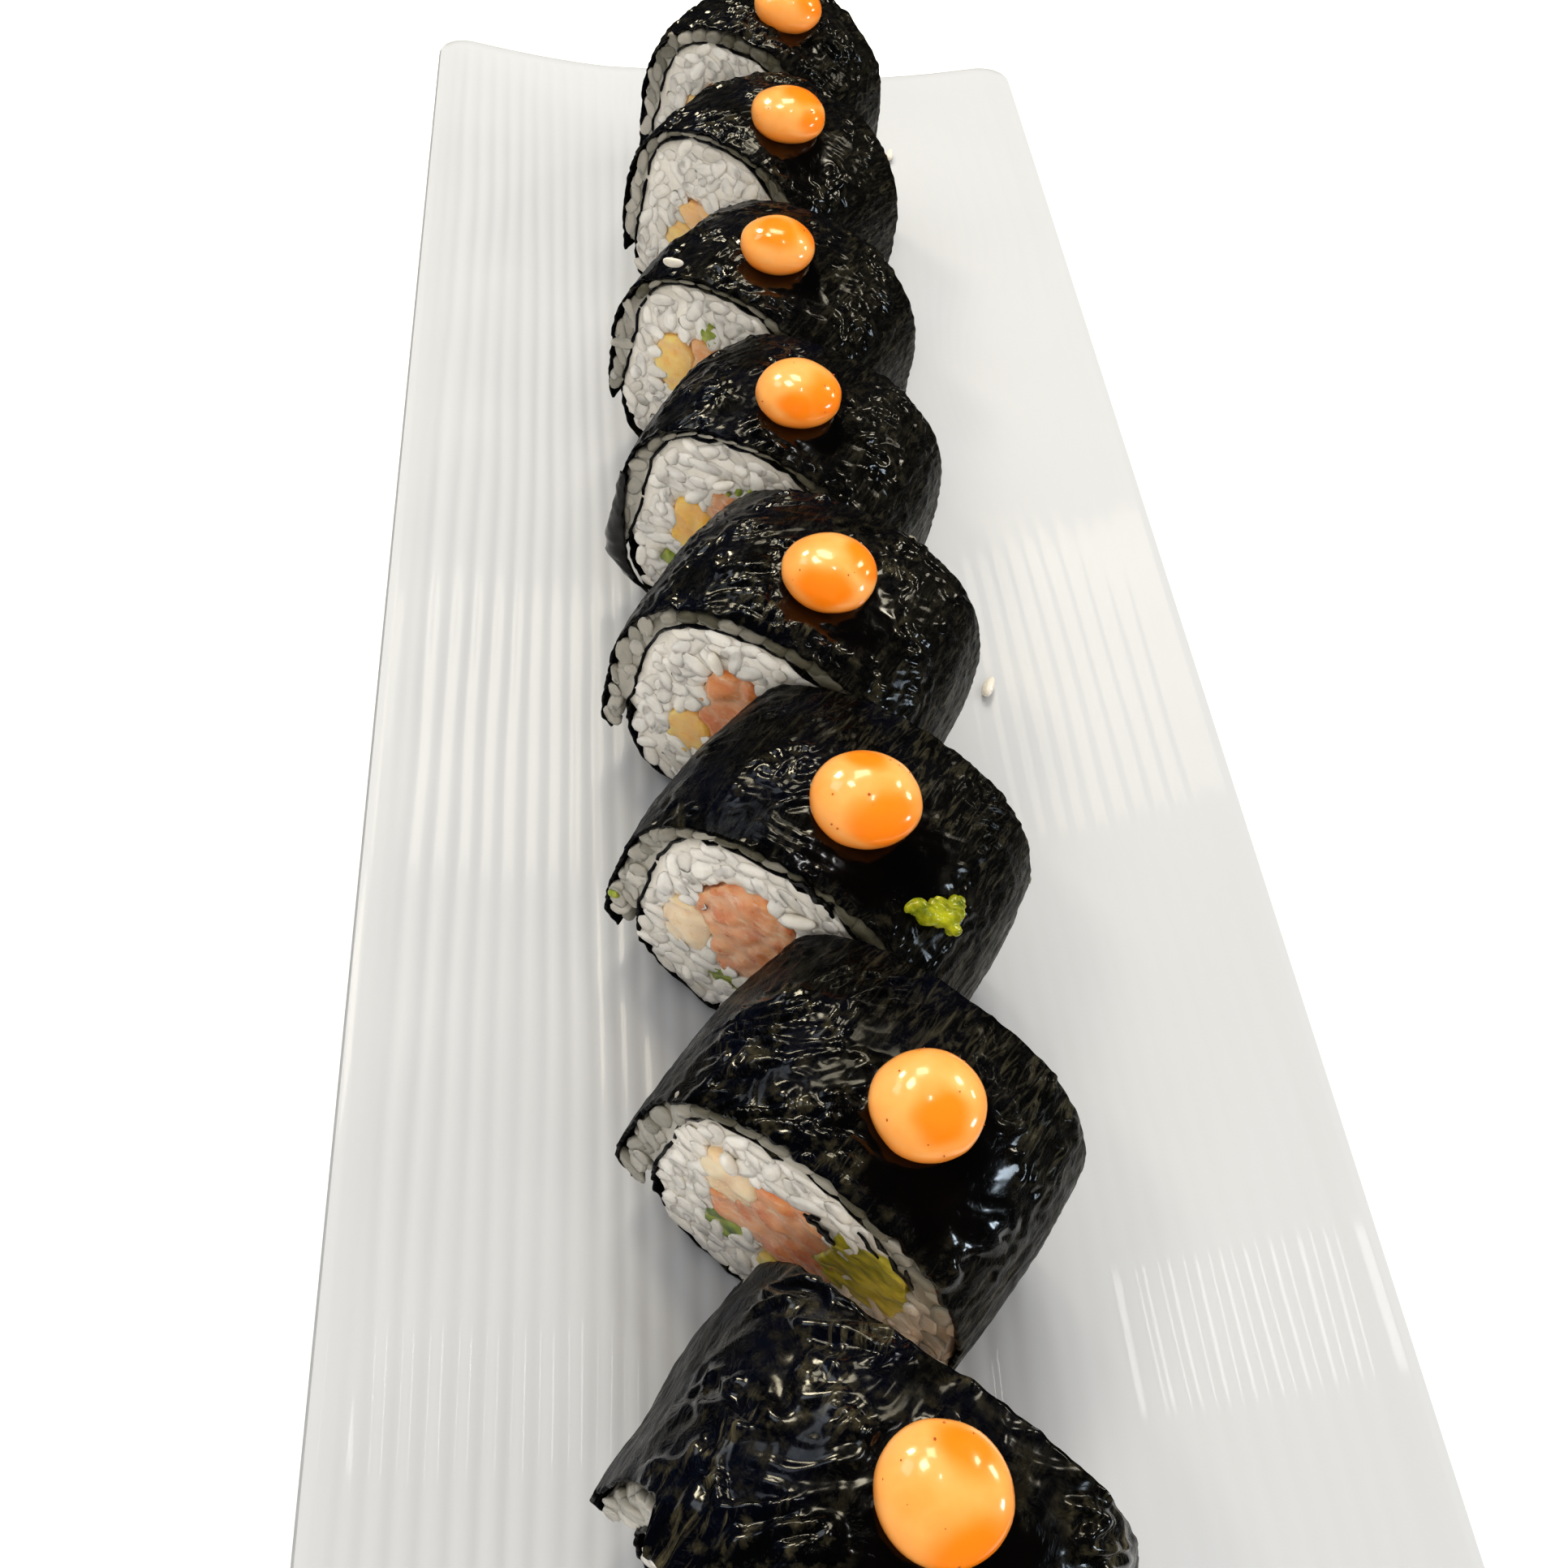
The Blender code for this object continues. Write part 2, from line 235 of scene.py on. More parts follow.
def rounded_plan(share_x, share_y, half_width, half_length, corner):
    """Turn a square of -1 to 1 into a rectangle with rounded corners."""
    across, along = share_x * half_width, share_y * half_length
    past_x = np.maximum(np.abs(across) - (half_width - corner), 0.0) / corner
    past_y = np.maximum(np.abs(along) - (half_length - corner), 0.0) / corner
    both = (past_x > 0) & (past_y > 0)
    round_x = half_width - corner + corner * past_x * np.sqrt(1 - past_y ** 2 / 2)
    round_y = half_length - corner + corner * past_y * np.sqrt(1 - past_x ** 2 / 2)
    across = np.where(both, np.copysign(round_x, share_x), across)
    along = np.where(both, np.copysign(round_y, share_y), along)
    return across, along


def rib_relief(across, along):
    """The pressed ribs, below the plain edge: broad soft ridges between narrow grooves."""
    wander = 0.0
    for far, wide, long, seed in RIB_WAVES:
        wander = wander + far * ripple(across / wide, along / long, seed)
    far, wide, long, seed = RIB_WAVE_RIGHT
    wander = wander + far * smooth_ramp(across, 0.005, 0.045) * ripple(across / wide, along / long, seed)
    away = ((across - KNOT[0]) / KNOT_SPREAD[0]) ** 2 + ((along - KNOT[1]) / KNOT_SPREAD[1]) ** 2
    turned = (across + wander + KNOT_PUSH * np.exp(-away / 2)) / RIB_PITCH
    from_groove = np.abs(turned - np.floor(turned) - 0.5) * 2
    groove = 1.0 - smooth_ramp(from_groove, 0.0, 0.85)
    depth = 0.75 + 0.45 * ripple(across / 0.009, along / 0.060, 11.3)
    depth *= 1.0 - 0.72 * smooth_ramp(across, *RIBS_SHALLOW)
    crown = 0.18 * ripple(across / 0.006, along / 0.040, 5.9)
    crown = crown * (1.0 - 0.8 * smooth_ramp(across, 0.0, 0.03))
    from_edge = np.minimum(PLATE_HALF_WIDTH - np.abs(across), PLATE_HALF_LENGTH - np.abs(along))
    inside = smooth_ramp(from_edge, RIM_BAND - 0.0008, RIM_BAND + 0.0012)
    return -RIB_DEPTH * inside * (0.45 + groove * depth + crown * (1 - groove))


deselect()
bpy.ops.mesh.primitive_grid_add(x_subdivisions=PLATE_COLUMNS, y_subdivisions=PLATE_ROWS, size=2.0)
plate = take("porcelain_plate")
squares = read_points(plate)
attribute(plate, "share_x", squares[:, 0])
attribute(plate, "share_y", squares[:, 1])
inner_half_width = PLATE_HALF_WIDTH - RIM_ROUND
inner_half_length = PLATE_HALF_LENGTH - RIM_ROUND
x, y = rounded_plan(squares[:, 0], squares[:, 1], inner_half_width, inner_half_length, PLATE_CORNER)
write_points(plate, np.column_stack([x, y, PLATE_FLOOR + plate_bend(x) + rib_relief(x, y)]))
bpy.ops.object.mode_set(mode="EDIT")
bpy.ops.mesh.select_mode(type="EDGE")
bpy.ops.mesh.select_all(action="DESELECT")
bpy.ops.mesh.select_non_manifold()
rings = [(PLATE_HALF_WIDTH - inset, PLATE_HALF_LENGTH - inset, height, True)
         for inset, height in PLATE_RINGS]
rings += [(FOOT_HALF_WIDTH - inset, FOOT_HALF_LENGTH - inset, height, False)
          for inset, height in FOOT_RINGS]
for half_width, half_length, height, bends in rings:
    bpy.ops.mesh.extrude_region_move()
    bpy.ops.object.mode_set(mode="OBJECT")
    points = read_points(plate)
    chosen = np.zeros(len(points), bool)
    plate.data.vertices.foreach_get("select", chosen)
    shares = []
    for name in ("share_x", "share_y"):
        values = np.empty(len(points))
        plate.data.attributes[name].data.foreach_get("value", values)
        shares.append(values[chosen])
    x, y = rounded_plan(*shares, half_width, half_length, PLATE_CORNER if bends else FOOT_CORNER)
    base = PLATE_FLOOR - PLATE_THICKNESS + plate_bend(x) if bends else 0.0
    points[chosen] = np.column_stack([x, y, base + height + np.zeros(len(x))])
    write_points(plate, points)
    bpy.ops.object.mode_set(mode="EDIT")
bpy.ops.mesh.edge_face_add()
bpy.ops.mesh.select_all(action="SELECT")
bpy.ops.mesh.normals_make_consistent(inside=False)
bpy.ops.object.mode_set(mode="OBJECT")
for name in ("share_x", "share_y"):
    plate.data.attributes.remove(plate.data.attributes[name])
bpy.ops.object.shade_smooth_by_angle(angle=math.radians(50))

porcelain = new_finish("glazed_porcelain", PORCELAIN_WHITE, 0.40, Coat_Weight=0.15, Coat_Roughness=0.05,
                       Specular_IOR_Level=0.3)
place = object_coordinates(porcelain)
cloud = grain_of(porcelain, place, 18.0, 2.0)
pinholes = grain_of(porcelain, place, 900.0, 2.0)
glaze = mottled(porcelain, cloud, 0.15, 0.85, PORCELAIN_WHITE, PORCELAIN_GREY)
into_shader(porcelain, "Base Color", glaze)
into_shader(porcelain, "Roughness", ramp(porcelain, cloud, 0.15, 0.85, 0.34, 0.46))
bump(porcelain, plus(porcelain, times(porcelain, pinholes, 0.08), cloud), 0.00012, 0.5)
plate.data.materials.append(porcelain)
set_down(plate, "porcelain", "plate")


# ---------------------------------------------------------------------------------------------
# Nori: one moist sheet of roasted seaweed for each slice, wound once round the outside and half way
# round the rice again. It has puckered over the rice, its cut edges are ragged, its loose end stands
# off low on the left, and thin sauce has run from under the drop and left the top wet.
# ---------------------------------------------------------------------------------------------
HEIGHT = 0.0452
SHEET = 0.0009                  # room for the sheet
SHEET_THICKNESS = 0.00045
BAND = 0.0046                   # rice between the two windings
DOME_POWER = 2.3
BASE_POWER = 3.4
END_SHRINK = (0.035, 0.048)     # how much narrower and lower a cut face is than the middle
# Degrees of winding from the sheet's loose end
TAIL_ANGLE = 205.0              # where the loose end lies, as an angle
TAIL_FADE = 55.0                # it stands off up to here
TUCK_FADE = 18.0                # folded back, it comes in over so many
BASE_TURNS = (255.0, 335.0)     # it lies on the plate
TURN_IN = (325.0, 405.0)        # it turns inwards
INNER_TURNS = 372.0             # it is inside the rice from here
RISE_OVER = (395.0, 445.0, 485.0, 528.0)   # it rises nearer to the outer winding, and leaves it again
WINDING = 528.0
# Each slice, from the far end
SLICE_PITCH = 0.0406
FIRST_SLICE_Y = 0.1430
STANDS_OFF = 0.0003             # between a slice and the plate
SLICE_SHIFT = (2.5, -0.5, -3.4, -3.3, -3.8, -3.3, -3.2, -6.5)      # sideways, mm
SLICE_CREEP = (0.0, 1.0, -3.4, -2.0, 0.0, 0.8, 0.8, -4.8)          # along the row, mm
SLICE_TURN = (35, 41, 36, 31, 33, 37, 41, 39)                      # degrees off the plate's length
SLICE_LENGTH = (27, 29.5, 30.5, 29, 30.5, 30, 29.2, 29)            # along the roll, mm
HALF_WIDTH = (23.0, 24.0, 24.3, 24.3, 24.8, 25.0, 24.2, 23.8)      # mm
TAIL_LIFT = (1.0, 1.5, 1.2, 1.8, 3.6, 4.6, 5.0, 4.6)               # the loose end stands off, mm
TAIL_TUCK = (3, 3, 3, 5, 6, 6, 7, 6)                               # degrees folded back under it
RISE = (0.35, 0.72, 0.75, 0.80, 0.45, 0.60, 0.60, 0.60)            # share by which it rises nearer
DOT_RIGHT = (5.0, 5.7, 2.0, 1.8, 3.4, 3.8, 6.2, 1.6)               # sauce drops, mm
DOT_FORWARD = (2.0, 2.7, 2.8, 3.0, 2.6, 2.4, 1.6, -2.5)
WET_REACH = (0.45, 0.75, 0.72, 0.68, 0.75, 1.0, 1.0, 1.0)          # how far it is wet, of the usual
CRINKLE_SIZE = (1.0, 1.0, 1.0, 1.0, 1.0, 1.0, 1.15, 1.5)           # how large the crinkles are
PUCKER = (1.4, 1.1, 0.95, 0.85, 1.0, 0.75, 1.2, 1.6)               # how crinkled each top is
EDGE_FOLDS = (0.4, 0.3, 0.3, 0.4, 1.25, 0.55, 0.5, 0.6)            # creases beside the front edge
# These two lower the crown, and with it the gloss and the painted haze and glints
DULL_SHOULDER = (0.35, 0.15, 0.10, 0.0, 0.0, 0.0, 0.0, 0.0)        # duller on the right shoulder
DULL_BACK = (0.0, 0.0, 0.0, 0.0, 0.0, 0.7, 0.8, 0.0)               # and towards the back edge
CORNER_BACK = (0, 0, 0, 0, 0, 0, 0, 5.4)                           # front left corner pushed back, mm
CORNER_BULGE = 0.55             # how far the side bulges, of how far the corner is pushed back
FLAP = (0, 0, 0, 0, 0, 0, 0, 4.2)                                  # the top hangs over the face, mm
FLAP_FROM = (-0.0195, -0.0180)  # across, where the flap begins
FLAP_TO = (-0.015, -0.004)      # and where it ends
FLAP_TURNS = 200.0              # only the outer winding hangs, up to here
FLAP_ROOT = 0.75                # share of the half length behind which the flap is still on the roll
FLAP_DROOP = 0.45               # how far down it bends, of how far it hangs
FLAP_FULL = 0.0046              # length at which it droops fully
WET_PLACE = (0.0035, 0.0030)    # the wet patch's middle, right and in front of the drop
WET_SPREAD = (0.0105, 0.0090)   # its reach across and along the roll
FILM = 0.00012                  # thin sauce over the wet part
FILM_LEVELS = 0.85              # how far it evens out the crinkles
INNER_LEVELS = 0.7              # how much flatter the sheet is inside the rice
FRAY = ((0.0006, 0.0016, 60.0), (0.0004, 0.0055, 70.0))    # ragged cut: how far, wave size and seed
BACK_FRAY = 0.4                 # of that on the back face
EDGE_INSIDE = 0.00005           # the cut edge lies behind the face
# The sheet's blacks: bluish on the left and brownish on the right, which is painted reflection, and
# soaked with sauce
COOL_BLACK = ((0.0006, 0.0007, 0.0010), (0.0010, 0.0017, 0.0058))
WARM_BLACK = ((0.0009, 0.0008, 0.0006), (0.0040, 0.0034, 0.0016))
SOAKED_BLACK = ((0.0006, 0.0005, 0.0004), (0.0028, 0.0013, 0.0007))
# Light streaks down the sides: partly the sheet's fibres, partly painted reflection
STREAK_COLOUR = (0.100, 0.088, 0.054)
# Painted light: an olive haze in the crinkles, as of light scattered through the lifted sheet
LIT_HAZE_COLOUR = (0.046, 0.039, 0.022)
# Painted highlights: golden glints on the most crinkled tops
GOLDEN_GLINT_COLOUR = (0.125, 0.106, 0.060)
FINE_STEP = 0.00040             # between the mesh's columns
COARSE_STEP = 0.0018            # and where the sheet lies hidden
SHEET_ROWS = 70


def section_radius(angle, half_width, half_height):
    """Distance from the middle of the section to the nori's middle line."""
    power = np.where(np.sin(angle) > 0, DOME_POWER, BASE_POWER)
    across = np.abs(np.cos(angle) / half_width) ** power
    upwards = np.abs(np.sin(angle) / half_height) ** power
    return (across + upwards) ** (-1.0 / power)


def sheet_line(wound, index, offset):
    """Points beside the sheet's middle line, after so many degrees of winding from its loose end."""
    angle = np.radians(TAIL_ANGLE - wound)
    radius = section_radius(angle, HALF_WIDTH[index] / 1000 - SHEET / 2, (HEIGHT - SHEET) / 2)
    tail = np.maximum(1.0 - np.maximum(wound, 0.0) / TAIL_FADE, 0.0) ** 2
    tail *= 1.0 + np.minimum(wound, 0.0) / TUCK_FADE
    radius = radius + TAIL_LIFT[index] / 1000 * tail + offset
    nearer = smooth_ramp(wound, *RISE_OVER[:2]) * (1.0 - smooth_ramp(wound, *RISE_OVER[2:]))
    radius -= BAND * smooth_ramp(wound, *TURN_IN) * (1.0 - RISE[index] * nearer)
    up = np.maximum(HEIGHT / 2 + radius * np.sin(angle), SHEET / 2 - offset)
    return radius * np.cos(angle), up


def top_height(across, index):
    """Height of the nori's top at a distance from the slice's middle."""
    share = 1.0 - np.abs(across / (HALF_WIDTH[index] / 1000)) ** DOME_POWER
    return HEIGHT / 2 * (1.0 + share ** (1.0 / DOME_POWER))


def corner_back(index, across, away):
    """How far up the plate a slice's front left corner has been pushed, as steps across and away."""
    back = away / (SLICE_LENGTH[index] / 2000)
    push = CORNER_BACK[index] / 1000 * smooth_ramp(-across, 0.010, 0.024)
    push = push * (0.78 + 0.22 * smooth_ramp(-back, -1.0, 1.0))
    turn = math.radians(SLICE_TURN[index])
    bulge = CORNER_BULGE * push * smooth_ramp(back, -0.4, 0.8)
    return -push * math.sin(turn) - bulge, push * math.cos(turn)


def back_on_plate(index, own):
    """Turn a slice's own places, already narrowed at the cut faces, into places on the plate."""
    turn = math.radians(SLICE_TURN[index])
    x = own[:, 0] * math.cos(turn) + own[:, 1] * math.sin(turn) + SLICE_SHIFT[index] / 1000
    y = own[:, 1] * math.cos(turn) - own[:, 0] * math.sin(turn)
    y = y + FIRST_SLICE_Y - SLICE_PITCH * index + SLICE_CREEP[index] / 1000
    return np.column_stack([x, y, own[:, 2] + PLATE_FLOOR + STANDS_OFF])


def on_plate(index, across, away, up):
    """Turn a slice's own places (right, back from its middle, up) into places on the plate."""
    outwards = np.minimum((away / (SLICE_LENGTH[index] / 2000)) ** 2, 1.0)
    across = across * (1.0 - END_SHRINK[0] * outwards)
    up = up * (1.0 - END_SHRINK[1] * outwards)
    return back_on_plate(index, np.column_stack([across, away, up]))


def sheet_turns(index):
    """Degrees of winding at even steps along the sheet, wider where it lies hidden."""
    finely = np.linspace(-TAIL_TUCK[index], WINDING, 4000)
    across, up = sheet_line(finely, index, 0.0)
    steps = np.hypot(np.diff(across), np.diff(up))
    hidden = (finely > INNER_TURNS) | ((finely > BASE_TURNS[0]) & (finely < BASE_TURNS[1]))
    counts = np.cumsum(steps / np.where(hidden[1:], COARSE_STEP, FINE_STEP))
    columns = int(counts[-1])
    return np.interp(np.arange(columns + 1) * counts[-1] / columns, np.append(0.0, counts), finely)


def crinkled(run, away, index):
    """Where the sheet is crinkled, 1, and where it lies taut, 0."""
    cloud = ripple(run / 0.0085, away / 0.0075, 90.0 + index)
    cloud = cloud + 0.5 * ripple(run / 0.004, away / 0.004, index)
    return smooth_ramp(cloud, -0.22, 0.28)


def edge_folds(run, away, angle, index):
    """Height of the long creases that the knife pushed up beside the front edge of the top."""
    from_edge = away + SLICE_LENGTH[index] / 2000
    beside = smooth_ramp(from_edge, 0.0002, 0.0012) * (1.0 - smooth_ramp(from_edge, 0.0045, 0.0080))
    beside = beside * (1.0 - smooth_ramp(np.abs(np.cos(angle) - 0.12), 0.22, 0.45))
    fold = np.abs(ripple(run / 0.0080, from_edge / 0.0016 + run / 0.03, 130.0 + index))
    return 0.75 * EDGE_FOLDS[index] * beside * (1.0 - smooth_ramp(fold, 0.0, 0.40))


def puckers(run, away, angle, up, index):
    """Height of the sheet's crinkles: blisters and creases on top, long fine waves down the sides."""
    seed = 10.0 * index
    on_top = smooth_ramp(np.sin(angle), 0.25, 0.75)
    clear_of_plate = smooth_ramp(up, 0.0015, 0.006)
    taut = 0.22 + 0.78 * crinkled(run, away, index)
    sag = ripple(run / 0.0075, away / 0.0090, seed + 7.0)
    folds = edge_folds(run, away, angle, index)
    run, away = run / CRINKLE_SIZE[index], away / CRINKLE_SIZE[index]
    # Blisters 2 to 3 mm across, and long slanting creases, each in its own patches
    bend = 0.5 * ripple(run / 0.0052, away / 0.0052, seed + 1.0)
    blister = np.abs(ripple(run / 0.0022 + bend, away / 0.0028 - bend, seed + 2.0))
    blister = (1.0 - smooth_ramp(blister, 0.0, 0.42)) ** 1.2
    slant = run * 0.8 + away * 0.6
    along = away * 0.8 - run * 0.6
    crease = np.abs(ripple(slant / 0.0070, along / 0.0018 + bend, seed + 3.0))
    crease = (1.0 - smooth_ramp(crease, 0.0, 0.36)) ** 1.1
    patch = smooth_ramp(ripple(run / 0.010, away / 0.010, seed + 4.0), -0.25, 0.25)
    # Fine grain all over, and streaks down the sides
    small = ripple(run / 0.0011, away / 0.0014, seed + 5.0)
    streak = ripple(run / 0.0012, away / 0.011 + bend, seed + 6.0)
    on_top_height = 0.52 * blister * (1 - 0.6 * patch) + 0.68 * crease * patch + 0.14 * small
    side_height = 0.16 * streak + 0.08 * small + 0.10 * blister
    on_top_height *= taut * PUCKER[index]
    on_top_height += folds
    height = on_top * on_top_height + (1 - on_top) * side_height + 0.34 * sag
    return 0.001 * clear_of_plate * height


def wetness(across, away, up, index):
    """How wet the sheet is: most under the drop and in front of it, on the right."""
    right, forward = DOT_RIGHT[index] / 1000, -DOT_FORWARD[index] / 1000
    along = across - right - WET_PLACE[0]
    towards = away - forward + WET_PLACE[1]
    spread = np.hypot(along / WET_SPREAD[0], towards / WET_SPREAD[1]) / WET_REACH[index]
    edge = spread + 0.28 * ripple(across / 0.004, away / 0.004, 40.0 + index)
    return (1.0 - smooth_ramp(edge, 0.75, 1.15)) * smooth_ramp(up, 0.020, 0.032)


nori = new_finish("moist_nori", (0.004, 0.005, 0.006), 0.3, Specular_IOR_Level=0.06, Coat_Roughness=0.13)
place = object_coordinates(nori)
along_sheet = node(nori, "UVMap", uv_map="sheet").outputs[0]
lean = from_attribute(nori, "lean")
wet = from_attribute(nori, "wet")
crown = from_attribute(nori, "crown")
broad = grain_of(nori, place, 110.0, 3.0)
fibres = grain_of(nori, along_sheet, 1.0, 5.0, 0.65, (1500.0, 330.0, 1.0))
pores = grain_of(nori, along_sheet, 1.0, 3.0, 0.7, (2600.0, 2200.0, 1.0))
# Painted reflection: bluish blacks with navy patches where the sheet faces left, brownish blacks where it
# faces right
cool = mottled(nori, broad, 0.42, 0.62, *COOL_BLACK)
warm = mottled(nori, broad, 0.40, 0.66, *WARM_BLACK)
sheet_colour = colour_mix(nori, ramp(nori, lean, -0.2, 0.9), cool, warm)
wisps = grain_of(nori, along_sheet, 1.0, 6.0, 0.66, (900.0, 190.0, 1.0), 1.5)
# Light streaks down the sides, partly fibres and partly painted reflection, painted stronger where the
# sheet faces right
streaks = times(nori, ramp(nori, wisps, 0.49, 0.72), ramp(nori, crown, 0.0, 0.7, 0.95, 0.0))
streaks = times(nori, streaks, ramp(nori, lean, -1.0, 1.0, 0.20, 1.0))
sheet_colour = colour_mix(nori, streaks, sheet_colour, STREAK_COLOUR)
# Painted light: an olive haze over the crinkled tops, as of light scattered through the lifted sheet
lit_haze = ramp(nori, grain_of(nori, place, 420.0, 4.0, 0.6), 0.52, 0.68)
lit_haze = times(nori, lit_haze, ramp(nori, crown, 0.3, 1.0))
sheet_colour = colour_mix(nori, lit_haze, sheet_colour, LIT_HAZE_COLOUR)
# Painted highlights: golden glints along the wisps, on the most crinkled tops
golden_glints = times(nori, ramp(nori, wisps, 0.53, 0.66), ramp(nori, crown, 0.7, 1.6, 0.0, 0.9))
golden_glints = times(nori, golden_glints, ramp(nori, broad, 0.46, 0.58))
sheet_colour = colour_mix(nori, golden_glints, sheet_colour, GOLDEN_GLINT_COLOUR)
soaked = mottled(nori, broad, 0.40, 0.70, *SOAKED_BLACK)
into_shader(nori, "Base Color", colour_mix(nori, wet, sheet_colour, soaked))
oily = times(nori, ramp(nori, wisps, 0.45, 0.75), 0.15)
oily = plus(nori, ramp(nori, crown, 0.1, 1.0, 0.0, 0.85), oily)
into_shader(nori, "Coat Weight", plus(nori, oily, times(nori, wet, 0.5)))
dry_roughness = ramp(nori, grain_of(nori, place, 260.0, 3.0), 0.3, 0.7, 0.22, 0.50)
into_shader(nori, "Roughness", node(nori, "Mix", {0: wet, 2: dry_roughness, 3: 0.10}).outputs[0])
wrinkles = grain_of(nori, along_sheet, 1.0, 3.0, 0.6, (470.0, 400.0, 1.0), 1.1)
folds = node(nori, "Math", {0: wrinkles, 1: 0.5}, operation="SUBTRACT").outputs[0]
folds = node(nori, "Math", {0: folds}, operation="ABSOLUTE").outputs[0]
folds = times(nori, ramp(nori, folds, 0.0, 0.10, 1.0, 0.0), ramp(nori, crown, 0.0, 1.0, 0.20, 1.0))
relief = plus(nori, folds, plus(nori, times(nori, fibres, 0.5), times(nori, pores, 0.25)))
bump(nori, times(nori, relief, ramp(nori, wet, 0.0, 1.0, 1.0, 0.10)), 0.00030, 0.9)

for index in range(len(SLICE_LENGTH)):
    number = index + 1
    half_length = SLICE_LENGTH[index] / 2000
    turns = sheet_turns(index)
    columns = len(turns)
    deselect()
    bpy.ops.mesh.primitive_grid_add(x_subdivisions=columns - 1, y_subdivisions=SHEET_ROWS, size=2.0)
    sheet = take(f"nori_sheet_{number}")
    square = read_points(sheet)
    column = np.rint((square[:, 0] + 1) / 2 * (columns - 1)).astype(int)
    line_across, line_up = sheet_line(turns, index, 0.0)
    run = np.append(0.0, np.cumsum(np.hypot(np.diff(line_across), np.diff(line_up))))
    out_across, out_up = -np.gradient(line_up, run), np.gradient(line_across, run)
    angle = np.radians(TAIL_ANGLE - turns)
    inner = smooth_ramp(turns, TURN_IN[0] + 30, INNER_TURNS)
    away = square[:, 1] * half_length
    height = puckers(run[column], away, angle[column], line_up[column], index)
    wet_share = wetness(line_across[column], away, line_up[column], index)
    height = height * (1 - FILM_LEVELS * wet_share) * (1 - INNER_LEVELS * inner[column])
    height = height + FILM * wet_share
    fray = 0.0
    for far, wave, seed in FRAY:
        fray = fray + far * ripple(run[column] / wave, run[column] / 0.02, seed + index)
    fray = fray * np.where(away > 0, BACK_FRAY, 1.0)
    near_edge = np.sign(away) * smooth_ramp(np.abs(square[:, 1]), 0.80, 1.0)
    wander = 0.0006 * inner[column] * ripple(run[column] / 0.0032, away / 0.009, 80.0 + index)
    sunk = inner[column] * (0.00030 * ripple(run[column] / 0.0030, away, 85.0 + index) + 0.00016)
    height += wander
    across = line_across[column] + height * out_across[column]
    away += near_edge * (fray + sunk - EDGE_INSIDE)
    up = line_up[column] + height * out_up[column]
    hangs = FLAP[index] / 1000 * smooth_ramp(across, *FLAP_FROM) * (1.0 - smooth_ramp(across, *FLAP_TO))
    hangs = hangs * (turns < FLAP_TURNS)[column]
    hangs = hangs * np.clip((-square[:, 1] - FLAP_ROOT) / (1.0 - FLAP_ROOT), 0.0, 1.0)
    step_across, step_away = corner_back(index, across, away)
    up -= FLAP_DROOP * hangs * (hangs / FLAP_FULL)
    points = on_plate(index, across + step_across, away + step_away - hangs, up)
    write_points(sheet, points)
    attribute(sheet, "lean", np.cos(angle)[column])
    attribute(sheet, "wet", wet_share)
    crinkle = 0.35 + 0.65 * crinkled(run[column], away, index)
    crown = smooth_ramp(np.sin(angle), 0.2, 0.7)[column] * PUCKER[index] * crinkle
    crown *= 1.0 - DULL_SHOULDER[index] * smooth_ramp(across, 0.002, 0.010)
    crown *= 1.0 - DULL_BACK[index] * smooth_ramp(away, 0.000, 0.006)
    attribute(sheet, "crown", crown + edge_folds(run[column], away, angle[column], index))
    corners = np.empty(len(sheet.data.loops), int)
    sheet.data.loops.foreach_get("vertex_index", corners)
    sheet.data.uv_layers.active.name = "sheet"
    flat = np.column_stack([run[column], away])[corners] / CRINKLE_SIZE[index]
    sheet.data.uv_layers.active.data.foreach_set("uv", flat.ravel())
    apply_modifier(sheet, "thickness", "SOLIDIFY", thickness=SHEET_THICKNESS, offset=0.0)
    sheet.data.shade_smooth()
    sheet.data.materials.append(nori)
    set_down(sheet, "nori", f"nori_{number}")


# ---------------------------------------------------------------------------------------------
# Rice core: the sticky mass of cooked rice behind the cut faces, which also fills the band between
# the two windings of the sheet. It lies a little inside the grains that are seen.
# ---------------------------------------------------------------------------------------------
CORE_VOXEL = 0.0012
CORE_SWELL = 0.00020
CORE_DEPTH = 0.00026            # from the cut face to the core
MIDDLE_UP = HEIGHT / 2
# The rice's colours, from its most shaded painted tone to its white
RICE_GREY = (0.115, 0.106, 0.074)
RICE_WHITE = (0.98, 0.91, 0.81)
# Painted shade in the rice's tone: the band greyer, where the dark sheets show through, and darker still
# on its right
BAND_GREY = 0.48                # how much greyer the band is than the middle
BAND_SHADE = (0.33, 0.33, 0.33, 0.33, 0.33, 0.33, 0.08, 0.33)      # and how much more on the right


def off_plate(index, points):
    """The reverse of back_on_plate."""
    turn = math.radians(SLICE_TURN[index])
    x = points[:, 0] - SLICE_SHIFT[index] / 1000
    y = points[:, 1] - FIRST_SLICE_Y + SLICE_PITCH * index - SLICE_CREEP[index] / 1000
    across = x * math.cos(turn) - y * math.sin(turn)
    away = x * math.sin(turn) + y * math.cos(turn)
    return np.column_stack([across, away, points[:, 2] - PLATE_FLOOR - STANDS_OFF])


def push_corner(index, own):
    """A slice's own places, with its front left corner pushed back."""
    pushed = own.copy()
    step_across, step_away = corner_back(index, own[:, 0], own[:, 1])
    pushed[:, 0] += step_across
    pushed[:, 1] += step_away
    return pushed


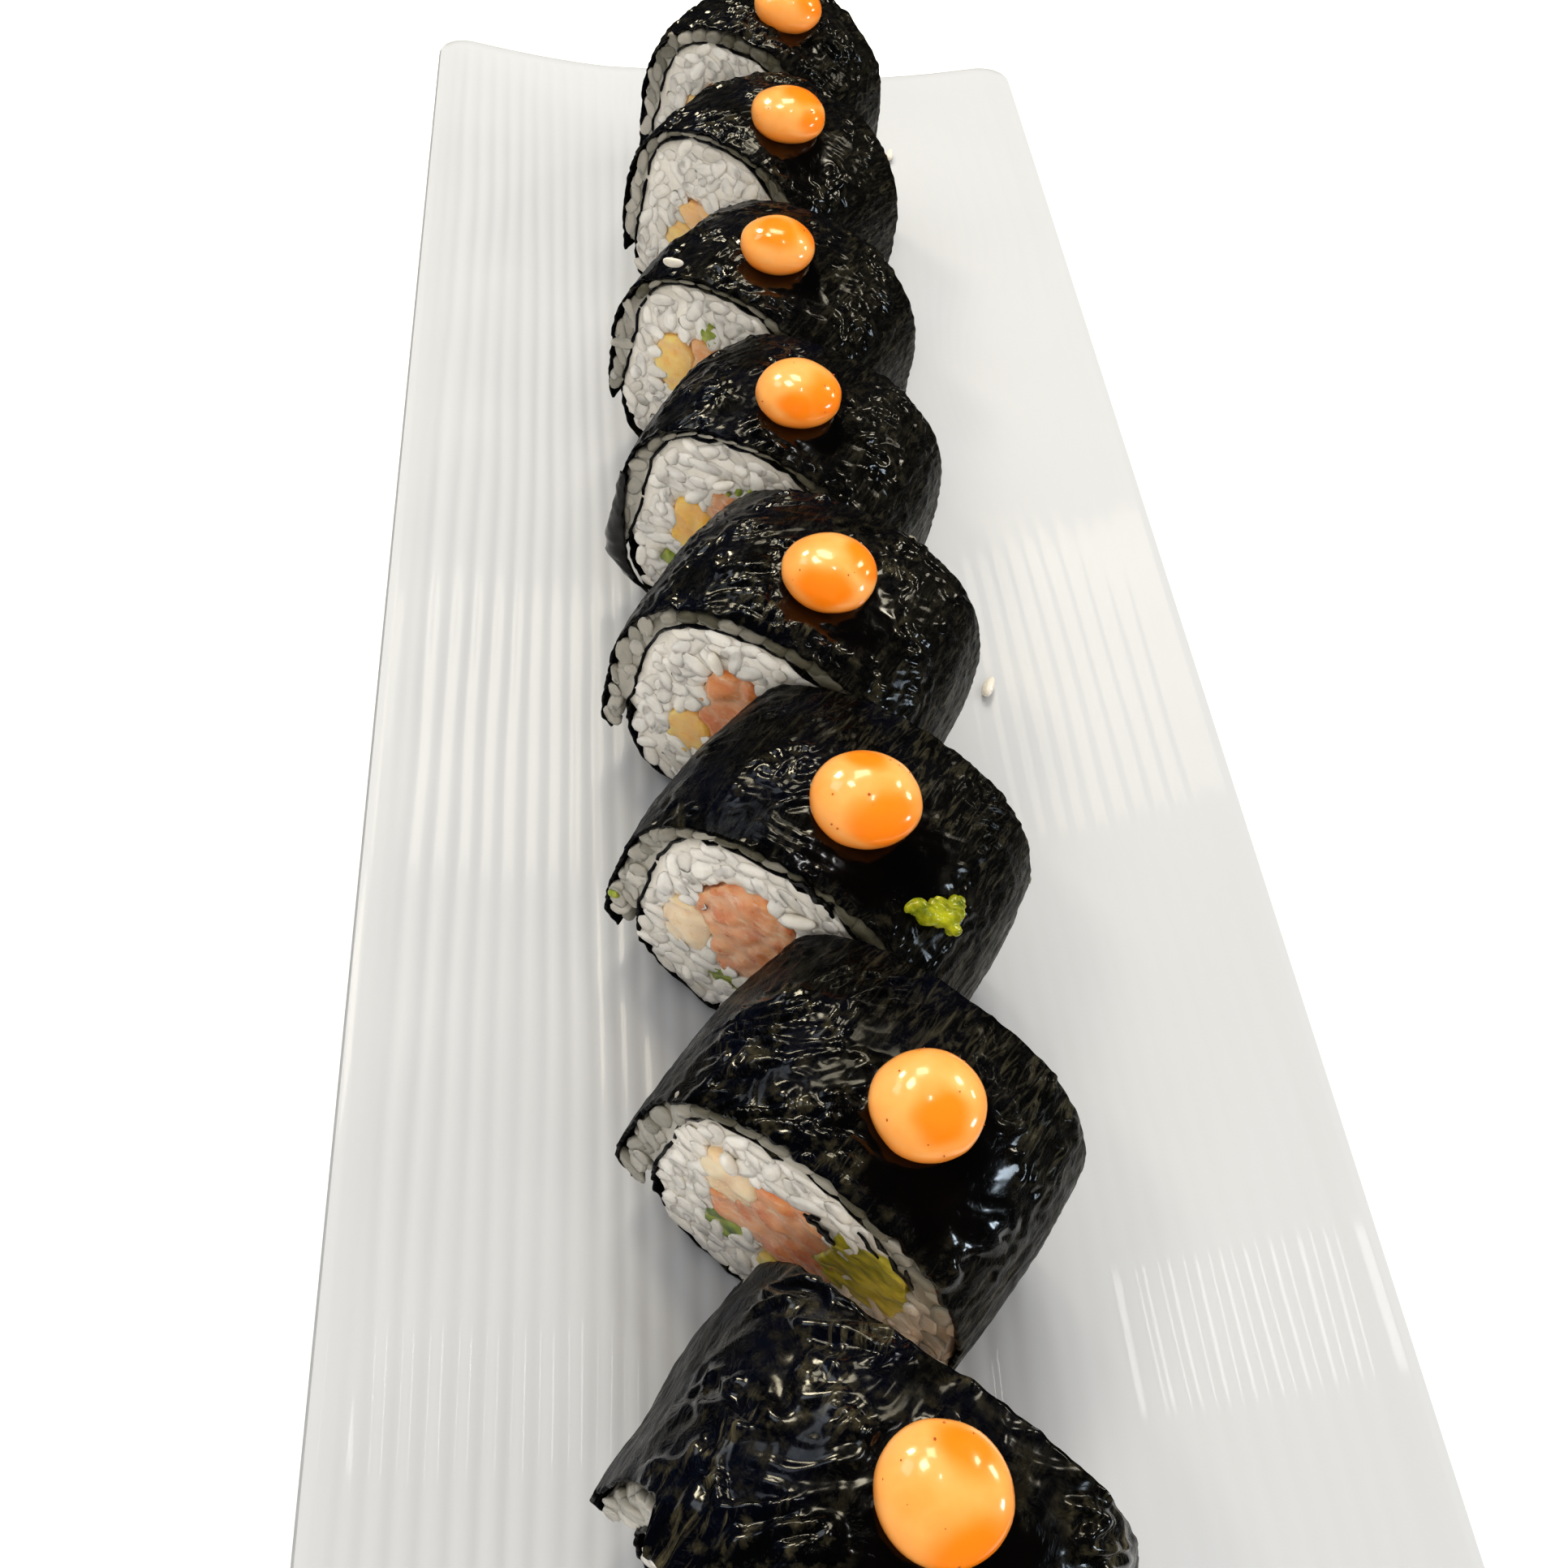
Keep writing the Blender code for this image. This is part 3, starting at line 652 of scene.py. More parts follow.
def copy_of(cad_node, name):
    """A merged copy of a CAD node's mesh."""
    deselect()
    piece = bpy.data.objects.new(name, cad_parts[cad_node].data.copy())
    piece.data.name = name
    bpy.context.scene.collection.objects.link(piece)
    piece.data.materials.clear()
    bpy.context.view_layer.objects.active = piece
    piece.select_set(True)
    bpy.ops.object.mode_set(mode="EDIT")
    bpy.ops.mesh.select_all(action="SELECT")
    bpy.ops.mesh.remove_doubles(threshold=1e-6)
    bpy.ops.object.mode_set(mode="OBJECT")
    return piece


def evened(piece, voxel, rounds):
    """Make a piece's mesh even, and soften its edges."""
    apply_modifier(piece, "even", "REMESH", mode="VOXEL", voxel_size=voxel)
    apply_modifier(piece, "soften", "SMOOTH", factor=0.5, iterations=rounds)


def vertex_normals(piece):
    normals = np.empty(len(piece.data.vertices) * 3)
    piece.data.vertices.foreach_get("normal", normals)
    return normals.reshape(-1, 3)


def lumps(points, size, seed):
    """Soft noise in space between about -1 and 1."""
    return np.array([noise.noise((x / size + seed, y / size, z / size)) for x, y, z in points])


rice_white = new_finish("cooked_rice", (0.72, 0.69, 0.60), 0.30, Subsurface_Weight=0.5,
                        Subsurface_Scale=0.0014, Subsurface_Radius=(1.0, 1.0, 0.95), Coat_Weight=0.20,
                        Coat_Roughness=0.15)
tone = from_attribute(rice_white, "tone")
place = object_coordinates(rice_white)
starch = grain_of(rice_white, place, 700.0, 3.0)
rice_colour = colour_mix(rice_white, tone, RICE_GREY, RICE_WHITE)
into_shader(rice_white, "Base Color", colour_mix(
    rice_white, ramp(rice_white, starch, 0.35, 0.7), rice_colour, (0.90, 0.90, 0.88), "MULTIPLY"))
into_shader(rice_white, "Roughness", ramp(rice_white, starch, 0.3, 0.7, 0.24, 0.44))
bump(rice_white, starch, 0.00010, 0.5)


def rice_tone(own, index):
    """Painted shade as a tone: 0 where the dark sheets show through the thin band, 1 in the white middle.
    """
    outwards = np.minimum((own[:, 1] / (SLICE_LENGTH[index] / 2000)) ** 2, 1.0)
    across = own[:, 0] / (1.0 - END_SHRINK[0] * outwards)
    up = own[:, 2] / (1.0 - END_SHRINK[1] * outwards) - MIDDLE_UP
    degrees = np.degrees(np.arctan2(up, across))
    degrees = np.where(degrees < TAIL_ANGLE - 350.0, degrees + 360.0, degrees)
    inner_line = np.column_stack(sheet_line(TAIL_ANGLE + 360.0 - degrees, index, 0.0))
    past_line = np.hypot(across, up) - np.hypot(inner_line[:, 0], inner_line[:, 1] - MIDDLE_UP)
    banded = smooth_ramp(past_line, -0.0012, 0.0006) * smooth_ramp(degrees, -70.0, -30.0)
    rim = section_radius(np.radians(degrees), HALF_WIDTH[index] / 1000, HEIGHT / 2)
    near_rim = smooth_ramp(np.hypot(across, up) / rim, 0.72, 0.95)
    cloud = 0.12 * ripple(across / 0.005, up / 0.005, 33.0 + index)
    # Painted shade: the band darker, and more so on its right
    dark = (BAND_GREY + BAND_SHADE[index] * smooth_ramp(across, -0.006, 0.009)) * banded
    near_top = smooth_ramp(up, 0.0, 0.014)
    # Painted shade near the rim, most near the top; the cloud is random
    return np.clip(0.93 - dark - (0.10 + 0.16 * near_top) * near_rim + cloud, 0.0, 1.0)


for index in range(len(SLICE_LENGTH)):
    number = index + 1
    core = copy_of(f"rice_{number}", f"rice_core_{number}")
    half_length = SLICE_LENGTH[index] / 2000
    own = off_plate(index, read_points(core))
    own[:, 1] *= (half_length - CORE_DEPTH) / half_length
    write_points(core, back_on_plate(index, push_corner(index, own)))
    apply_modifier(core, "inset", "DISPLACE", strength=CORE_SWELL, mid_level=0.0)
    evened(core, CORE_VOXEL, 3)
    points = read_points(core)
    swell = 0.00035 * lumps(points, 0.0026, 5.0 * index)
    write_points(core, points + vertex_normals(core) * np.minimum(swell, 0.0002)[:, None])
    # The core shows only between the grains, and is painted a little darker there: painted shade
    attribute(core, "tone", 0.96 * rice_tone(off_plate(index, points), index) - 0.03)
    core.data.shade_smooth()
    core.data.materials.append(rice_white)
    set_down(core, "rice")


# ---------------------------------------------------------------------------------------------
# Rice grains: short-grain rice, cooked until the grains stick. The knife has cut flat those that
# lay across a face. One grain is modelled, and copied into one piece for each slice.
# ---------------------------------------------------------------------------------------------
GRAIN_LENGTH = 0.0062
GRAIN_WIDTH = 0.0030
GRAIN_DEPTH = 0.0026
GRAIN_SPACING = (0.0022, 0.0026)         # of the outer layer and of the one behind it
LAYER_DEPTH = ((-0.0013, -0.0006), (-0.0002, 0.0008))
GRAIN_TRIES = 5200
GRAIN_SIZES = (0.80, 1.08)
SHEET_MARGIN = 0.00115
NEAR_SHEET = 0.0024             # grains nearer to the sheet than this lie along it
PAST_WINDING = 4.0              # degrees of rice round the sheet's inner end
BAND_OPENS = 362.0              # degrees of winding from which the band of rice is seen
SLIVER_STEP = 0.0037
SLIVER_ROOM = 0.0026            # slivers fill the band where it is narrower than this
SLIVER_LENGTHS = (0.55, 0.80)
SLIVER_FILL = (1.3, 1.05)       # their depth and width, of the band's width
SLIVER_PROUD = 0.0005
FILLING_MARGIN = -0.1           # mm
FILLING_POWER = 2.8
# Fillings of each slice on its cut face: middle (right, up), width and height, all in mm
FILLINGS = (
    {"fish": (-2.5, 29.5, 9, 8), "cream": (-8.8, 24.5, 7, 8), "green": (-8.5, 15, 5, 5)},
    {"fish": (-5.6, 25.0, 9, 8), "cream": (-9.8, 19.2, 7, 8), "green": (-10.6, 12.2, 5, 5)},
    {"fish": (-3.8, 26.5, 8, 12), "cream": (-10.3, 24.5, 8, 13), "green": (-2.8, 34.4, 4, 4)},
    {"fish": (-3.4, 27.2, 9, 13), "cream": (-9.5, 22.2, 9, 13), "green": (-12.8, 12.8, 5, 4.5)},
    {"fish": (-3.4, 24.0, 12, 20), "cream": (-11.0, 15.5, 8, 10), "green": (-3.2, 11.2, 6, 4)},
    {"fish": (-4.0, 23.5, 17, 22), "cream": (-13.8, 18.0, 8, 12), "green": (-5.2, 10.2, 8, 4)},
    {"fish": (-0.8, 23.5, 15, 19), "fish_end": (-8.8, 18.8, 8, 5), "cream": (-10.2, 27.0, 8, 12),
     "green": (-9.6, 13.4, 6.4, 7), "avocado": (11.2, 28.8, 10, 14), "paste": (-0.6, 11.4, 7, 6)},
    {"fish": (-2.0, 24.0, 15, 19), "cream": (-11.5, 20.0, 8, 12), "green": (-5.0, 10.8, 8, 5)},
)

deselect()
bpy.ops.mesh.primitive_uv_sphere_add(segments=8, ring_count=6, radius=0.5)
grain = take("one_grain")
bpy.ops.object.mode_set(mode="EDIT")
bpy.ops.mesh.select_all(action="SELECT")
bpy.ops.transform.resize(value=(GRAIN_WIDTH, GRAIN_DEPTH, GRAIN_LENGTH), center_override=(0, 0, 0))
bpy.ops.object.mode_set(mode="OBJECT")
one = read_points(grain)
reach = one[:, 2] / (GRAIN_LENGTH / 2)
one[:, :2] *= (1.0 + 0.35 * reach ** 2 * (1 - np.abs(reach)) * 2 - 0.10 * reach)[:, None]
one[:, 0] += 0.00030 * (reach ** 2 - 0.4)       # a slight curve, as of a belly and a back
ONE_GRAIN = one[:, [2, 1, 0]]                   # lying along the first axis
GRAIN_FACES = [[face.vertices[corner] for corner in range(len(face.vertices))][::-1]
               for face in grain.data.polygons]
bpy.data.objects.remove(grain)


def rice_edge(index):
    """Outline of the rice on a cut face."""
    clear = SHEET_THICKNESS / 2 + 0.0001
    around = np.linspace(-TAIL_TUCK[index], WINDING + PAST_WINDING, 120)
    back = np.linspace(WINDING + PAST_WINDING, BAND_OPENS, 45)
    inner = np.column_stack(sheet_line(around, index, -clear))
    outer = np.column_stack(sheet_line(back, index, clear))
    return np.vstack([inner, outer]) * (1.0 - END_SHRINK[0], 1.0 - END_SHRINK[1])


def lies_inside(points, outline):
    """Which points lie inside an outline."""
    after = np.roll(outline, -1, axis=0)
    inside = np.zeros(len(points), bool)
    for (x1, y1), (x2, y2) in zip(outline, after):
        crosses = (y1 > points[:, 1]) != (y2 > points[:, 1])
        if y1 != y2:
            inside ^= crosses & (points[:, 0] < (x2 - x1) * (points[:, 1] - y1) / (y2 - y1) + x1)
    return inside


def edge_distance(points, outline):
    """Distance from each point to an outline, and the outline's direction there."""
    after = np.roll(outline, -1, axis=0)
    span = after - outline
    length = np.maximum((span ** 2).sum(1), 1e-12)
    share = np.clip(((points[:, None] - outline) * span).sum(2) / length, 0.0, 1.0)
    gap = np.linalg.norm(points[:, None] - (outline + share[..., None] * span), axis=2)
    nearest = gap.argmin(1)
    return gap.min(1), np.arctan2(span[nearest, 1], span[nearest, 0])


def scatter(index, layer, chance):
    """Places and directions for a layer of grains on a cut face."""
    outline = rice_edge(index)
    low, high = outline.min(0), outline.max(0)
    tries = low + (high - low) * chance.random((GRAIN_TRIES, 2))
    tries = tries[lies_inside(tries, outline)]
    gap, direction = edge_distance(tries, outline)
    fits = gap > SHEET_MARGIN
    for across, up, width, height in FILLINGS[index].values():
        reach_x = np.abs(tries[:, 0] * 1000 - across) / (width / 2 + FILLING_MARGIN)
        reach_y = np.abs(tries[:, 1] * 1000 - up) / (height / 2 + FILLING_MARGIN)
        fits &= reach_x ** FILLING_POWER + reach_y ** FILLING_POWER > 1.0
    tries, gap, direction = tries[fits], gap[fits], direction[fits]
    kept = []
    for candidate in range(len(tries)):
        if not kept or (np.hypot(*(tries[kept] - tries[candidate]).T) > GRAIN_SPACING[layer]).all():
            kept.append(candidate)
    return tries[kept], gap[kept], direction[kept]


def band_slivers(index):
    """Places, directions and widths for the grains squeezed between the two windings."""
    degrees = np.arange(40.0, 200.0, 0.5)
    clear = SHEET_THICKNESS / 2
    outer = np.column_stack(sheet_line(TAIL_ANGLE - degrees, index, -clear))
    inner = np.column_stack(sheet_line(TAIL_ANGLE + 360.0 - degrees, index, clear))
    middle, width = (outer + inner) / 2, np.hypot(*(outer - inner).T)
    steps = np.hypot(*np.diff(middle, axis=0).T)
    run = np.append(0.0, np.cumsum(steps))
    spots = [np.interp(np.arange(0.002, run[-1], SLIVER_STEP), run, values)
             for values in (middle[:, 0], middle[:, 1], width)]
    ahead = [np.interp(np.arange(0.002, run[-1], SLIVER_STEP) + 0.001, run, values)
             for values in (middle[:, 0], middle[:, 1])]
    shrink = 1.0 - np.array(END_SHRINK)
    heading = np.arctan2((ahead[1] - spots[1]) * shrink[1], (ahead[0] - spots[0]) * shrink[0])
    narrow = spots[2] < SLIVER_ROOM
    return (np.column_stack(spots[:2]) * shrink)[narrow], heading[narrow], spots[2][narrow]


def heap_of(name, copies, faces):
    """One piece from many copies of a small shape, whose faces repeat."""
    count = len(copies[0])
    mesh = bpy.data.meshes.new(name)
    mesh.from_pydata(np.vstack(copies).tolist(), [], [[corner + count * copy for corner in face]
                                                      for copy in range(len(copies)) for face in faces])
    piece = bpy.data.objects.new(name, mesh)
    bpy.context.scene.collection.objects.link(piece)
    return piece


def lay_grain(place_at, heading, tilt, spin, scale):
    """One grain's points, turned about its length, tilted off the face and turned within it."""
    points = ONE_GRAIN * scale
    for turn, first, second in ((spin, 1, 2), (tilt, 0, 1), (heading, 0, 2)):
        along, aside = points[:, first].copy(), points[:, second].copy()
        points[:, first] = along * math.cos(turn) - aside * math.sin(turn)
        points[:, second] = along * math.sin(turn) + aside * math.cos(turn)
    return points + place_at


for index in range(len(SLICE_LENGTH)):
    number = index + 1
    half_length = SLICE_LENGTH[index] / 2000
    chance = np.random.default_rng(100 + number)
    grains, tones = [], []
    for face in (-1, 1):
        for layer, (shallow, deep) in enumerate(LAYER_DEPTH):
            for spot, gap, direction in zip(*scatter(index, layer, chance)):
                near_sheet = gap < NEAR_SHEET
                heading = direction + chance.normal(0, 0.45) if near_sheet else chance.uniform(0, math.pi)
                tilt = chance.normal(0, 0.35) if near_sheet else chance.normal(0, 0.55)
                depth = chance.uniform(shallow, deep)
                scale = chance.uniform(*GRAIN_SIZES, 3) * (0.9 if near_sheet else 1.0, 1.0, 1.0)
                centre = (spot[0], face * (half_length - depth - GRAIN_DEPTH / 2), spot[1])
                points = lay_grain(np.array(centre), heading, tilt, chance.uniform(0, math.tau), scale)
                cut = half_length + chance.normal(0.0, 0.00013) + 0.00015
                cut = cut + (points[:, 0] - spot[0]) * chance.normal(0, 0.05)
                points[:, 1] = face * np.minimum(face * points[:, 1], cut)
                points[:, :2] += corner_back(index, centre[0], centre[1])
                grains.append(points)
                shade = rice_tone(np.array([centre]), index)[0] + chance.normal(0, 0.09)
                tones.append(np.full(len(points), min(max(shade, 0.0), 1.0)))
        for spot, heading, width in zip(*band_slivers(index)):
            room = max(width, 0.0006) / GRAIN_WIDTH
            squeezed = np.array([chance.uniform(*SLIVER_LENGTHS), SLIVER_FILL[0] * room,
                                 SLIVER_FILL[1] * room])
            centre = np.array([spot[0], face * (half_length - 0.20 * width - 0.0002), spot[1]])
            heading, tilt = heading + chance.normal(0, 0.10), chance.normal(0, 0.06)
            points = lay_grain(centre, heading, tilt, 0.0, squeezed)
            points[:, 1] = face * np.minimum(face * points[:, 1], half_length + SLIVER_PROUD)
            points[:, :2] += corner_back(index, centre[0], centre[1])
            grains.append(points)
            # Painted shade: the slivers squeezed into the band a little darker
            shade = rice_tone(centre[None], index)[0] - 0.06 + chance.normal(0, 0.10)
            tones.append(np.full(len(points), min(max(shade, 0.0), 1.0)))
    heap = heap_of(f"rice_grains_{number}", [back_on_plate(index, own) for own in grains], GRAIN_FACES)
    attribute(heap, "tone", np.concatenate(tones))
    heap.data.shade_smooth()
    heap.data.materials.append(rice_white)
    set_down(heap, "rice", f"rice_{number}")


# ---------------------------------------------------------------------------------------------
# Fish: strips of raw pink fish in the middle of each slice, rolled in and cut across, so that its
# moist flakes and the pale seams between them show on the face.
# ---------------------------------------------------------------------------------------------
# A filling's shape: voxel size, height of its lumps, size of its chunks and depth of its creases
FISH_SHAPE = (0.0007, 0.00045, 0.0052, 0.0004)
FISH_TAN = (0.8, 0.25, 0.6, 0.35, 0.5, 0.0, 0.0, 0.2)       # how far each slice's fish leans to tan
FISH_DEEP = (0.5, 0.25, 0.5, 0.7, 0.6, 0.15, 0.36, 0.5)     # how deep its colour is
FISH_PALE = (0.5, 0.85, 0.3, 0.0, 0.0, 0.0, 0.0, 0.0)       # or how pale
FISH_REACH = (0, 0, 0, 0, 0, 0, 4.5, 0)                     # how far its foot reaches to the left, mm
FISH_FOOT = (0.020, 0.025)                                  # height at which its foot begins
FISH_NUDGE = {4: (-0.0021, 0.0012)}                         # slice 4's lies further left and up
FISH_PINKS = ((0.60, 0.17, 0.052), (0.92, 0.50, 0.25))
FISH_TAN_COLOUR = (0.72, 0.38, 0.14)
FISH_DEEP_COLOUR = (0.94, 0.62, 0.40)
FISH_PALE_COLOUR = (0.96, 0.58, 0.25)
FISH_BLUSH = (0.68, 0.16, 0.06)
FISH_SEAM = (0.88, 0.60, 0.40)
WEDGE_MIDDLE = (0.0112, 0.0275)                             # of the avocado, right and up
WEDGE_GROW = 1.15
WEDGE_NUDGE = 0.0008                                        # to the left
WEDGE_REACH = 0.0045                                        # how far its foot reaches to the left
WEDGE_FOOT = (0.018, 0.026)


def slice_normals(piece, index):
    """How far each vertex faces along its slice's roll."""
    turn = math.radians(SLICE_TURN[index])
    return vertex_normals(piece) @ np.array([math.sin(turn), math.cos(turn), 0.0])


def shaped_filling(cad_node, name, shape, seed):
    """A filling a little larger than its CAD solid, lumpy, with creases between its chunks."""
    voxel, swell, chunk, crease = shape
    piece = copy_of(cad_node, name)
    index = int(cad_node[-1]) - 1
    own = off_plate(index, read_points(piece))
    if cad_node.startswith("fish"):
        own[:, [0, 2]] += FISH_NUDGE.get(index + 1, (0.0, 0.0))
        low = 1.0 - smooth_ramp(own[:, 2], *FISH_FOOT)
        own[:, 0] -= FISH_REACH[index] / 1000 * smooth_ramp(-own[:, 0], -0.002, 0.008) * low
    if cad_node.startswith("avocado"):
        own[:, 0] = WEDGE_MIDDLE[0] + (own[:, 0] - WEDGE_MIDDLE[0]) * WEDGE_GROW - WEDGE_NUDGE
        own[:, 2] = WEDGE_MIDDLE[1] + (own[:, 2] - WEDGE_MIDDLE[1]) * WEDGE_GROW
        low = 1.0 - smooth_ramp(own[:, 2], *WEDGE_FOOT)
        own[:, 0] -= WEDGE_REACH * low * (own[:, 0] < WEDGE_MIDDLE[0])
    write_points(piece, back_on_plate(index, push_corner(index, own)))
    apply_modifier(piece, "swell", "DISPLACE", strength=0.0003, mid_level=0.0)
    evened(piece, voxel, 4)
    points = read_points(piece)
    height = swell * (lumps(points, 0.0034, seed) + 0.45 * lumps(points, 0.0015, seed + 20.0))
    height += 0.0008 * lumps(points, 0.0065, seed + 5.0) * (1.0 - np.abs(slice_normals(piece, index)))
    borders = []
    for x, y, z in points:
        near = noise.voronoi(((x + 0.01 * seed) / chunk, y / chunk / 2.2, z / chunk))[0]
        borders.append(near[1] - near[0])
    border = 1.0 - smooth_ramp(np.array(borders), 0.0, 0.30)
    write_points(piece, points + vertex_normals(piece) * (height - crease * border)[:, None])
    attribute(piece, "border", border)
    piece.data.shade_smooth()
    return piece


fish_flesh = new_finish("raw_pink_fish", (0.70, 0.33, 0.23), 0.28, Subsurface_Weight=0.5,
                        Subsurface_Scale=0.003, Subsurface_Radius=(1.0, 0.45, 0.3), Coat_Weight=0.4,
                        Coat_Roughness=0.1)
place = object_coordinates(fish_flesh)
border = from_attribute(fish_flesh, "border")
tan = from_attribute(fish_flesh, "tan")
deep = from_attribute(fish_flesh, "deep")
pale = from_attribute(fish_flesh, "pale")
mottle = grain_of(fish_flesh, place, 260.0, 4.0)
muscle = grain_of(fish_flesh, place, 480.0, 4.0, 0.65, (1.0, 0.6, 2.2))
pink = mottled(fish_flesh, mottle, 0.32, 0.68, *FISH_PINKS)
flesh = colour_mix(fish_flesh, tan, pink, FISH_TAN_COLOUR)
flesh = colour_mix(fish_flesh, deep, flesh, FISH_DEEP_COLOUR, "MULTIPLY")
blush = grain_of(fish_flesh, place, 170.0, 2.0)
blushed = times(fish_flesh, ramp(fish_flesh, blush, 0.52, 0.68), deep)
flesh = colour_mix(fish_flesh, blushed, flesh, FISH_BLUSH)
flesh = colour_mix(fish_flesh, pale, flesh, FISH_PALE_COLOUR)
seams = plus(fish_flesh, times(fish_flesh, ramp(fish_flesh, muscle, 0.54, 0.66), 0.6),
             times(fish_flesh, border, 0.45))
into_shader(fish_flesh, "Base Color", colour_mix(fish_flesh, seams, flesh, FISH_SEAM))
into_shader(fish_flesh, "Roughness", ramp(fish_flesh, mottle, 0.3, 0.7, 0.20, 0.40))
bump(fish_flesh, plus(fish_flesh, muscle, mottle), 0.00025, 0.6)

for index in range(len(SLICE_LENGTH)):
    number = index + 1
    fish = shaped_filling(f"fish_{number}", f"pink_fish_{number}", FISH_SHAPE, number)
    for name, shares in (("tan", FISH_TAN), ("deep", FISH_DEEP), ("pale", FISH_PALE)):
        attribute(fish, name, np.full(len(fish.data.vertices), shares[index]))
    fish.data.materials.append(fish_flesh)
    set_down(fish, "fish", f"fish_{number}")


# ---------------------------------------------------------------------------------------------
# Cream pieces: strips as soft as set egg, rolled in beside the fish and cut with it. They go from
# peach white in some slices to egg yellow in others.
# ---------------------------------------------------------------------------------------------
CREAM_SHAPE = (0.0007, 0.00030, 0.0065, 0.0003)
CREAM_YELLOW = (0.55, 0.75, 0.75, 1.0, 0.85, 0.0, 0.10, 0.35)      # how yellow each slice's is
PEACH_WHITES = ((0.90, 0.64, 0.40), (0.97, 0.83, 0.62))
EGG_YELLOWS = ((0.97, 0.45, 0.048), (0.99, 0.70, 0.14))
CREAM_EDGE = (0.80, 0.50, 0.30)

cream_strip = new_finish("pale_cream_strip", (0.82, 0.66, 0.44), 0.30, Subsurface_Weight=0.5,
                         Subsurface_Scale=0.003, Subsurface_Radius=(1.0, 0.7, 0.4), Coat_Weight=0.3,
                         Coat_Roughness=0.12)
place = object_coordinates(cream_strip)
border = from_attribute(cream_strip, "border")
yellow = from_attribute(cream_strip, "yellow")
mottle = grain_of(cream_strip, place, 330.0, 4.0)
pale = mottled(cream_strip, mottle, 0.3, 0.7, *PEACH_WHITES)
egg = mottled(cream_strip, mottle, 0.3, 0.7, *EGG_YELLOWS)
strip_colour = colour_mix(cream_strip, yellow, pale, egg)
into_shader(cream_strip, "Base Color", colour_mix(
    cream_strip, times(cream_strip, border, 0.4), strip_colour, CREAM_EDGE))
into_shader(cream_strip, "Roughness", ramp(cream_strip, mottle, 0.3, 0.7, 0.22, 0.42))
bump(cream_strip, mottle, 0.0003, 0.5)

for index, yellow_share in enumerate(CREAM_YELLOW):
    number = index + 1
    cream = shaped_filling(f"cream_{number}", f"cream_strip_{number}", CREAM_SHAPE, 20 + number)
    attribute(cream, "yellow", np.full(len(cream.data.vertices), yellow_share))
    cream.data.materials.append(cream_strip)
    set_down(cream, "cream", f"cream_{number}")


# ---------------------------------------------------------------------------------------------
# Greens: a salad leaf folded round its stem, rolled in under the fish and cut across. It is darker
# where it folds, and yellow at its edge.
# ---------------------------------------------------------------------------------------------
GREEN_SHAPE = (0.0005, 0.00035, 0.0034, 0.0003)
LEAF_GREENS = ((0.055, 0.10, 0.012), (0.27, 0.36, 0.045))
LEAF_EDGE = (0.62, 0.60, 0.14)

leaf = new_finish("green_leaf", (0.16, 0.22, 0.03), 0.34, Subsurface_Weight=0.25,
                  Subsurface_Scale=0.002, Coat_Weight=0.3, Coat_Roughness=0.15)
place = object_coordinates(leaf)
border = from_attribute(leaf, "border")
mottle = grain_of(leaf, place, 420.0, 4.0)
leaf_green = mottled(leaf, mottle, 0.35, 0.65, *LEAF_GREENS)
into_shader(leaf, "Base Color", colour_mix(leaf, times(leaf, border, 0.5), leaf_green, LEAF_EDGE))
bump(leaf, mottle, 0.0004, 0.7)

for number in range(1, len(SLICE_LENGTH) + 1):
    green = shaped_filling(f"green_{number}", f"green_leaf_{number}", GREEN_SHAPE, 40 + number)
    green.data.materials.append(leaf)
    set_down(green, "green", f"green_{number}")


# ---------------------------------------------------------------------------------------------
# Avocado and paste: slice 7 also shows a fibrous olive wedge of ripe avocado, laid in on the right of
# the fish, and a little orange paste that was spread under it.
# ---------------------------------------------------------------------------------------------
WEDGE_SHAPE = (0.0006, 0.00050, 0.0060, 0.0002)
PASTE_SHAPE = (0.0005, 0.00045, 0.0035, 0.0003)
OLIVES = ((0.27, 0.24, 0.006), (0.80, 0.68, 0.08))
WEDGE_EDGE = (0.07, 0.075, 0.008)
PASTE_COLOURS = ((0.84, 0.50, 0.24), (0.60, 0.56, 0.10))

ripe = new_finish("ripe_avocado", (0.24, 0.23, 0.03), 0.32, Subsurface_Weight=0.3,
                  Subsurface_Scale=0.002, Coat_Weight=0.15, Coat_Roughness=0.12)
place = object_coordinates(ripe)
border = from_attribute(ripe, "border")
threads = grain_of(ripe, place, 300.0, 4.0, 0.6, (0.7, 1.0, 2.4))
olive = mottled(ripe, threads, 0.34, 0.66, *OLIVES)
into_shader(ripe, "Base Color", colour_mix(ripe, times(ripe, border, 0.2), olive, WEDGE_EDGE))
bump(ripe, threads, 0.0004, 0.7)
wedge = shaped_filling("avocado_7", "avocado_wedge_7", WEDGE_SHAPE, 61)
wedge.data.materials.append(ripe)
set_down(wedge, "avocado", "avocado_7")

orange_paste = new_finish("orange_paste", (0.80, 0.42, 0.17), 0.30, Subsurface_Weight=0.3,
                          Subsurface_Scale=0.002, Coat_Weight=0.4, Coat_Roughness=0.12)
place = object_coordinates(orange_paste)
mottle = grain_of(orange_paste, place, 380.0, 4.0)
into_shader(orange_paste, "Base Color", mottled(orange_paste, mottle, 0.3, 0.7, *PASTE_COLOURS))
bump(orange_paste, mottle, 0.0004, 0.6)
smear = shaped_filling("paste_7", "paste_smear_7", PASTE_SHAPE, 71)
smear.data.materials.append(orange_paste)
set_down(smear, "paste", "paste_7")


